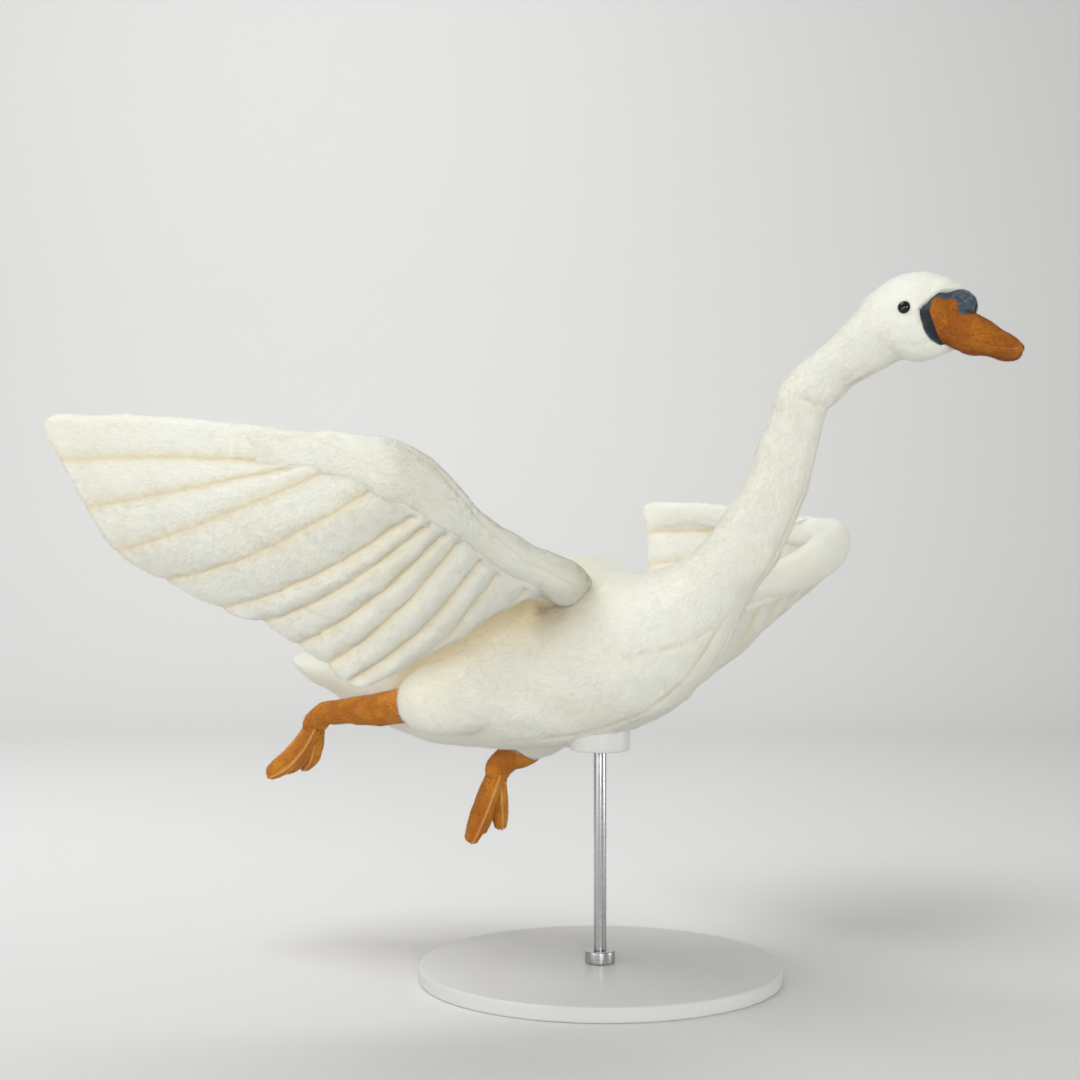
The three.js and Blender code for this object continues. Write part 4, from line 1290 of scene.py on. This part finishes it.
def plantCoat(name, skins, count, fabric, look):
    # a blade at each random root R: corners R + w/2 S, R - w/2 S and R + L (cos f D + sin f N),
    # D the lie turned by a random angle, S = N x D; its shading keeps near the skin's normal N
    rng = np.random.default_rng(sum(map(ord, name)))
    weights, normals = [], []
    for s in skins:
        p = s.points
        corner = p[:-1, :-1]
        cells = np.linalg.norm(np.cross(p[1:, :-1] - corner, p[:-1, 1:] - corner), axis=-1)
        weights.append(cells * (s.pile[:-1, :-1] + s.pile[1:, 1:]) / 2)
        normals.append(s.normals())
    total = sum(w.sum() for w in weights)
    planted = []
    for s, w, n in zip(skins, weights, normals):
        number = int(count * w.sum() / total)
        cell = np.searchsorted(np.cumsum(w), np.sort(rng.uniform(0, w.sum(), number)))
        cell = np.minimum(cell, w.size - 1)
        ring, step = np.divmod(cell, w.shape[1])
        u, v = rng.uniform(size=(2, number, 1))

        def at(field):
            # the field between a cell's four corners
            field = field if field.ndim == 3 else field[..., None]
            return ((1 - u) * ((1 - v) * field[ring, step] + v * field[ring, step + 1])
                    + u * ((1 - v) * field[ring + 1, step] + v * field[ring + 1, step + 1]))

        root, normal = at(s.points), unit(at(n))
        lie = at(s.lie)
        lie = unit(lie - (lie * normal).sum(-1, keepdims=True) * normal)
        swirl = (softNoise(root, coat["swirlSize"], coat["swirlSeed"]) * math.radians(look["swirl"])
                 + rng.normal(size=number) * math.radians(look["spread"]))[:, None]
        lie = np.cos(swirl) * lie + np.sin(swirl) * np.cross(normal, lie)
        least, more, power = coat["lifts"]
        lift = math.radians(look["lift"]) * (least + more * rng.uniform(size=(number, 1)) ** power)
        length = look["length"] * at(s.length) * rng.uniform(*coat["lengths"], (number, 1))
        tip = root + length * (np.cos(lift) * lie + np.sin(lift) * normal)
        half = np.cross(normal, lie) * look["width"] / 2 * rng.uniform(*coat["widths"], (number, 1))
        base = root - coat["root"] * normal
        shade = unit(normal + rng.normal(size=normal.shape) * look["stray"])
        uv = np.hstack([(ring[:, None] + u) / w.shape[0], (step[:, None] + v) / w.shape[1]])
        planted.append((np.stack([base + half, base - half, tip], 1), shade, at(s.seam)[:, 0],
                        at(s.dipShade)[:, 0], uv, rng.uniform(size=number)))
    corners, shade, seam, dipShade, uv, tone = (np.concatenate(x) for x in zip(*planted))
    # each blade takes the skin's seam tan and painted cream shade at its root
    fields = {"seam": seam, "dipShade": dipShade, "tone": tone}
    pieces = max(1, math.ceil(len(corners) / coat["trianglesMost"]))
    for k, part in enumerate(np.array_split(np.arange(len(corners)), pieces)):
        title = name if pieces == 1 else f"{name}{k + 1}"
        mesh = newMesh(title, toRow(corners[part].reshape(-1, 3)),
                       [np.arange(3 * len(part)).reshape(-1, 3)],
                       {key: np.repeat(value[part], 3) for key, value in fields.items()})
        patch = coat["patch"] * np.array([[-1, -0.6], [1, -0.6], [0, 1]])
        layer = mesh.uv_layers.new(name="OFBake")
        layer.data.foreach_set("uv", np.clip(uv[part][:, None] + patch, 0, 1).ravel())
        mesh.normals_split_custom_set_from_vertices(turnOnly(np.repeat(shade[part], 3, 0)))
        addPiece(title, mesh, fabric["pile"])


long, short = coat["white"], coat["velvet"]
plantCoat("coatBody", [bodySkin], blades["body"], white, long)
for sideName, wingParts in wingSkins.items():
    plantCoat("coatWing" + sideName.capitalize(), wingParts, blades["wing"], white, long)
for sideName, (thigh, shank, footSkins) in legSkins.items():
    title = sideName.capitalize()
    plantCoat("coatThigh" + title, [thigh], blades["thigh"], white, long)
    plantCoat("coatLeg" + title, [shank] + footSkins, blades["leg"], ginger, short)
plantCoat("coatPatch", [faceSkins["facePatch"]], blades["patch"], slate, short)
plantCoat("coatBill", [faceSkins["billUpper"], faceSkins["billLower"]], blades["bill"], ginger,
          short)
print("coat planted")

bpy.context.view_layer.update()
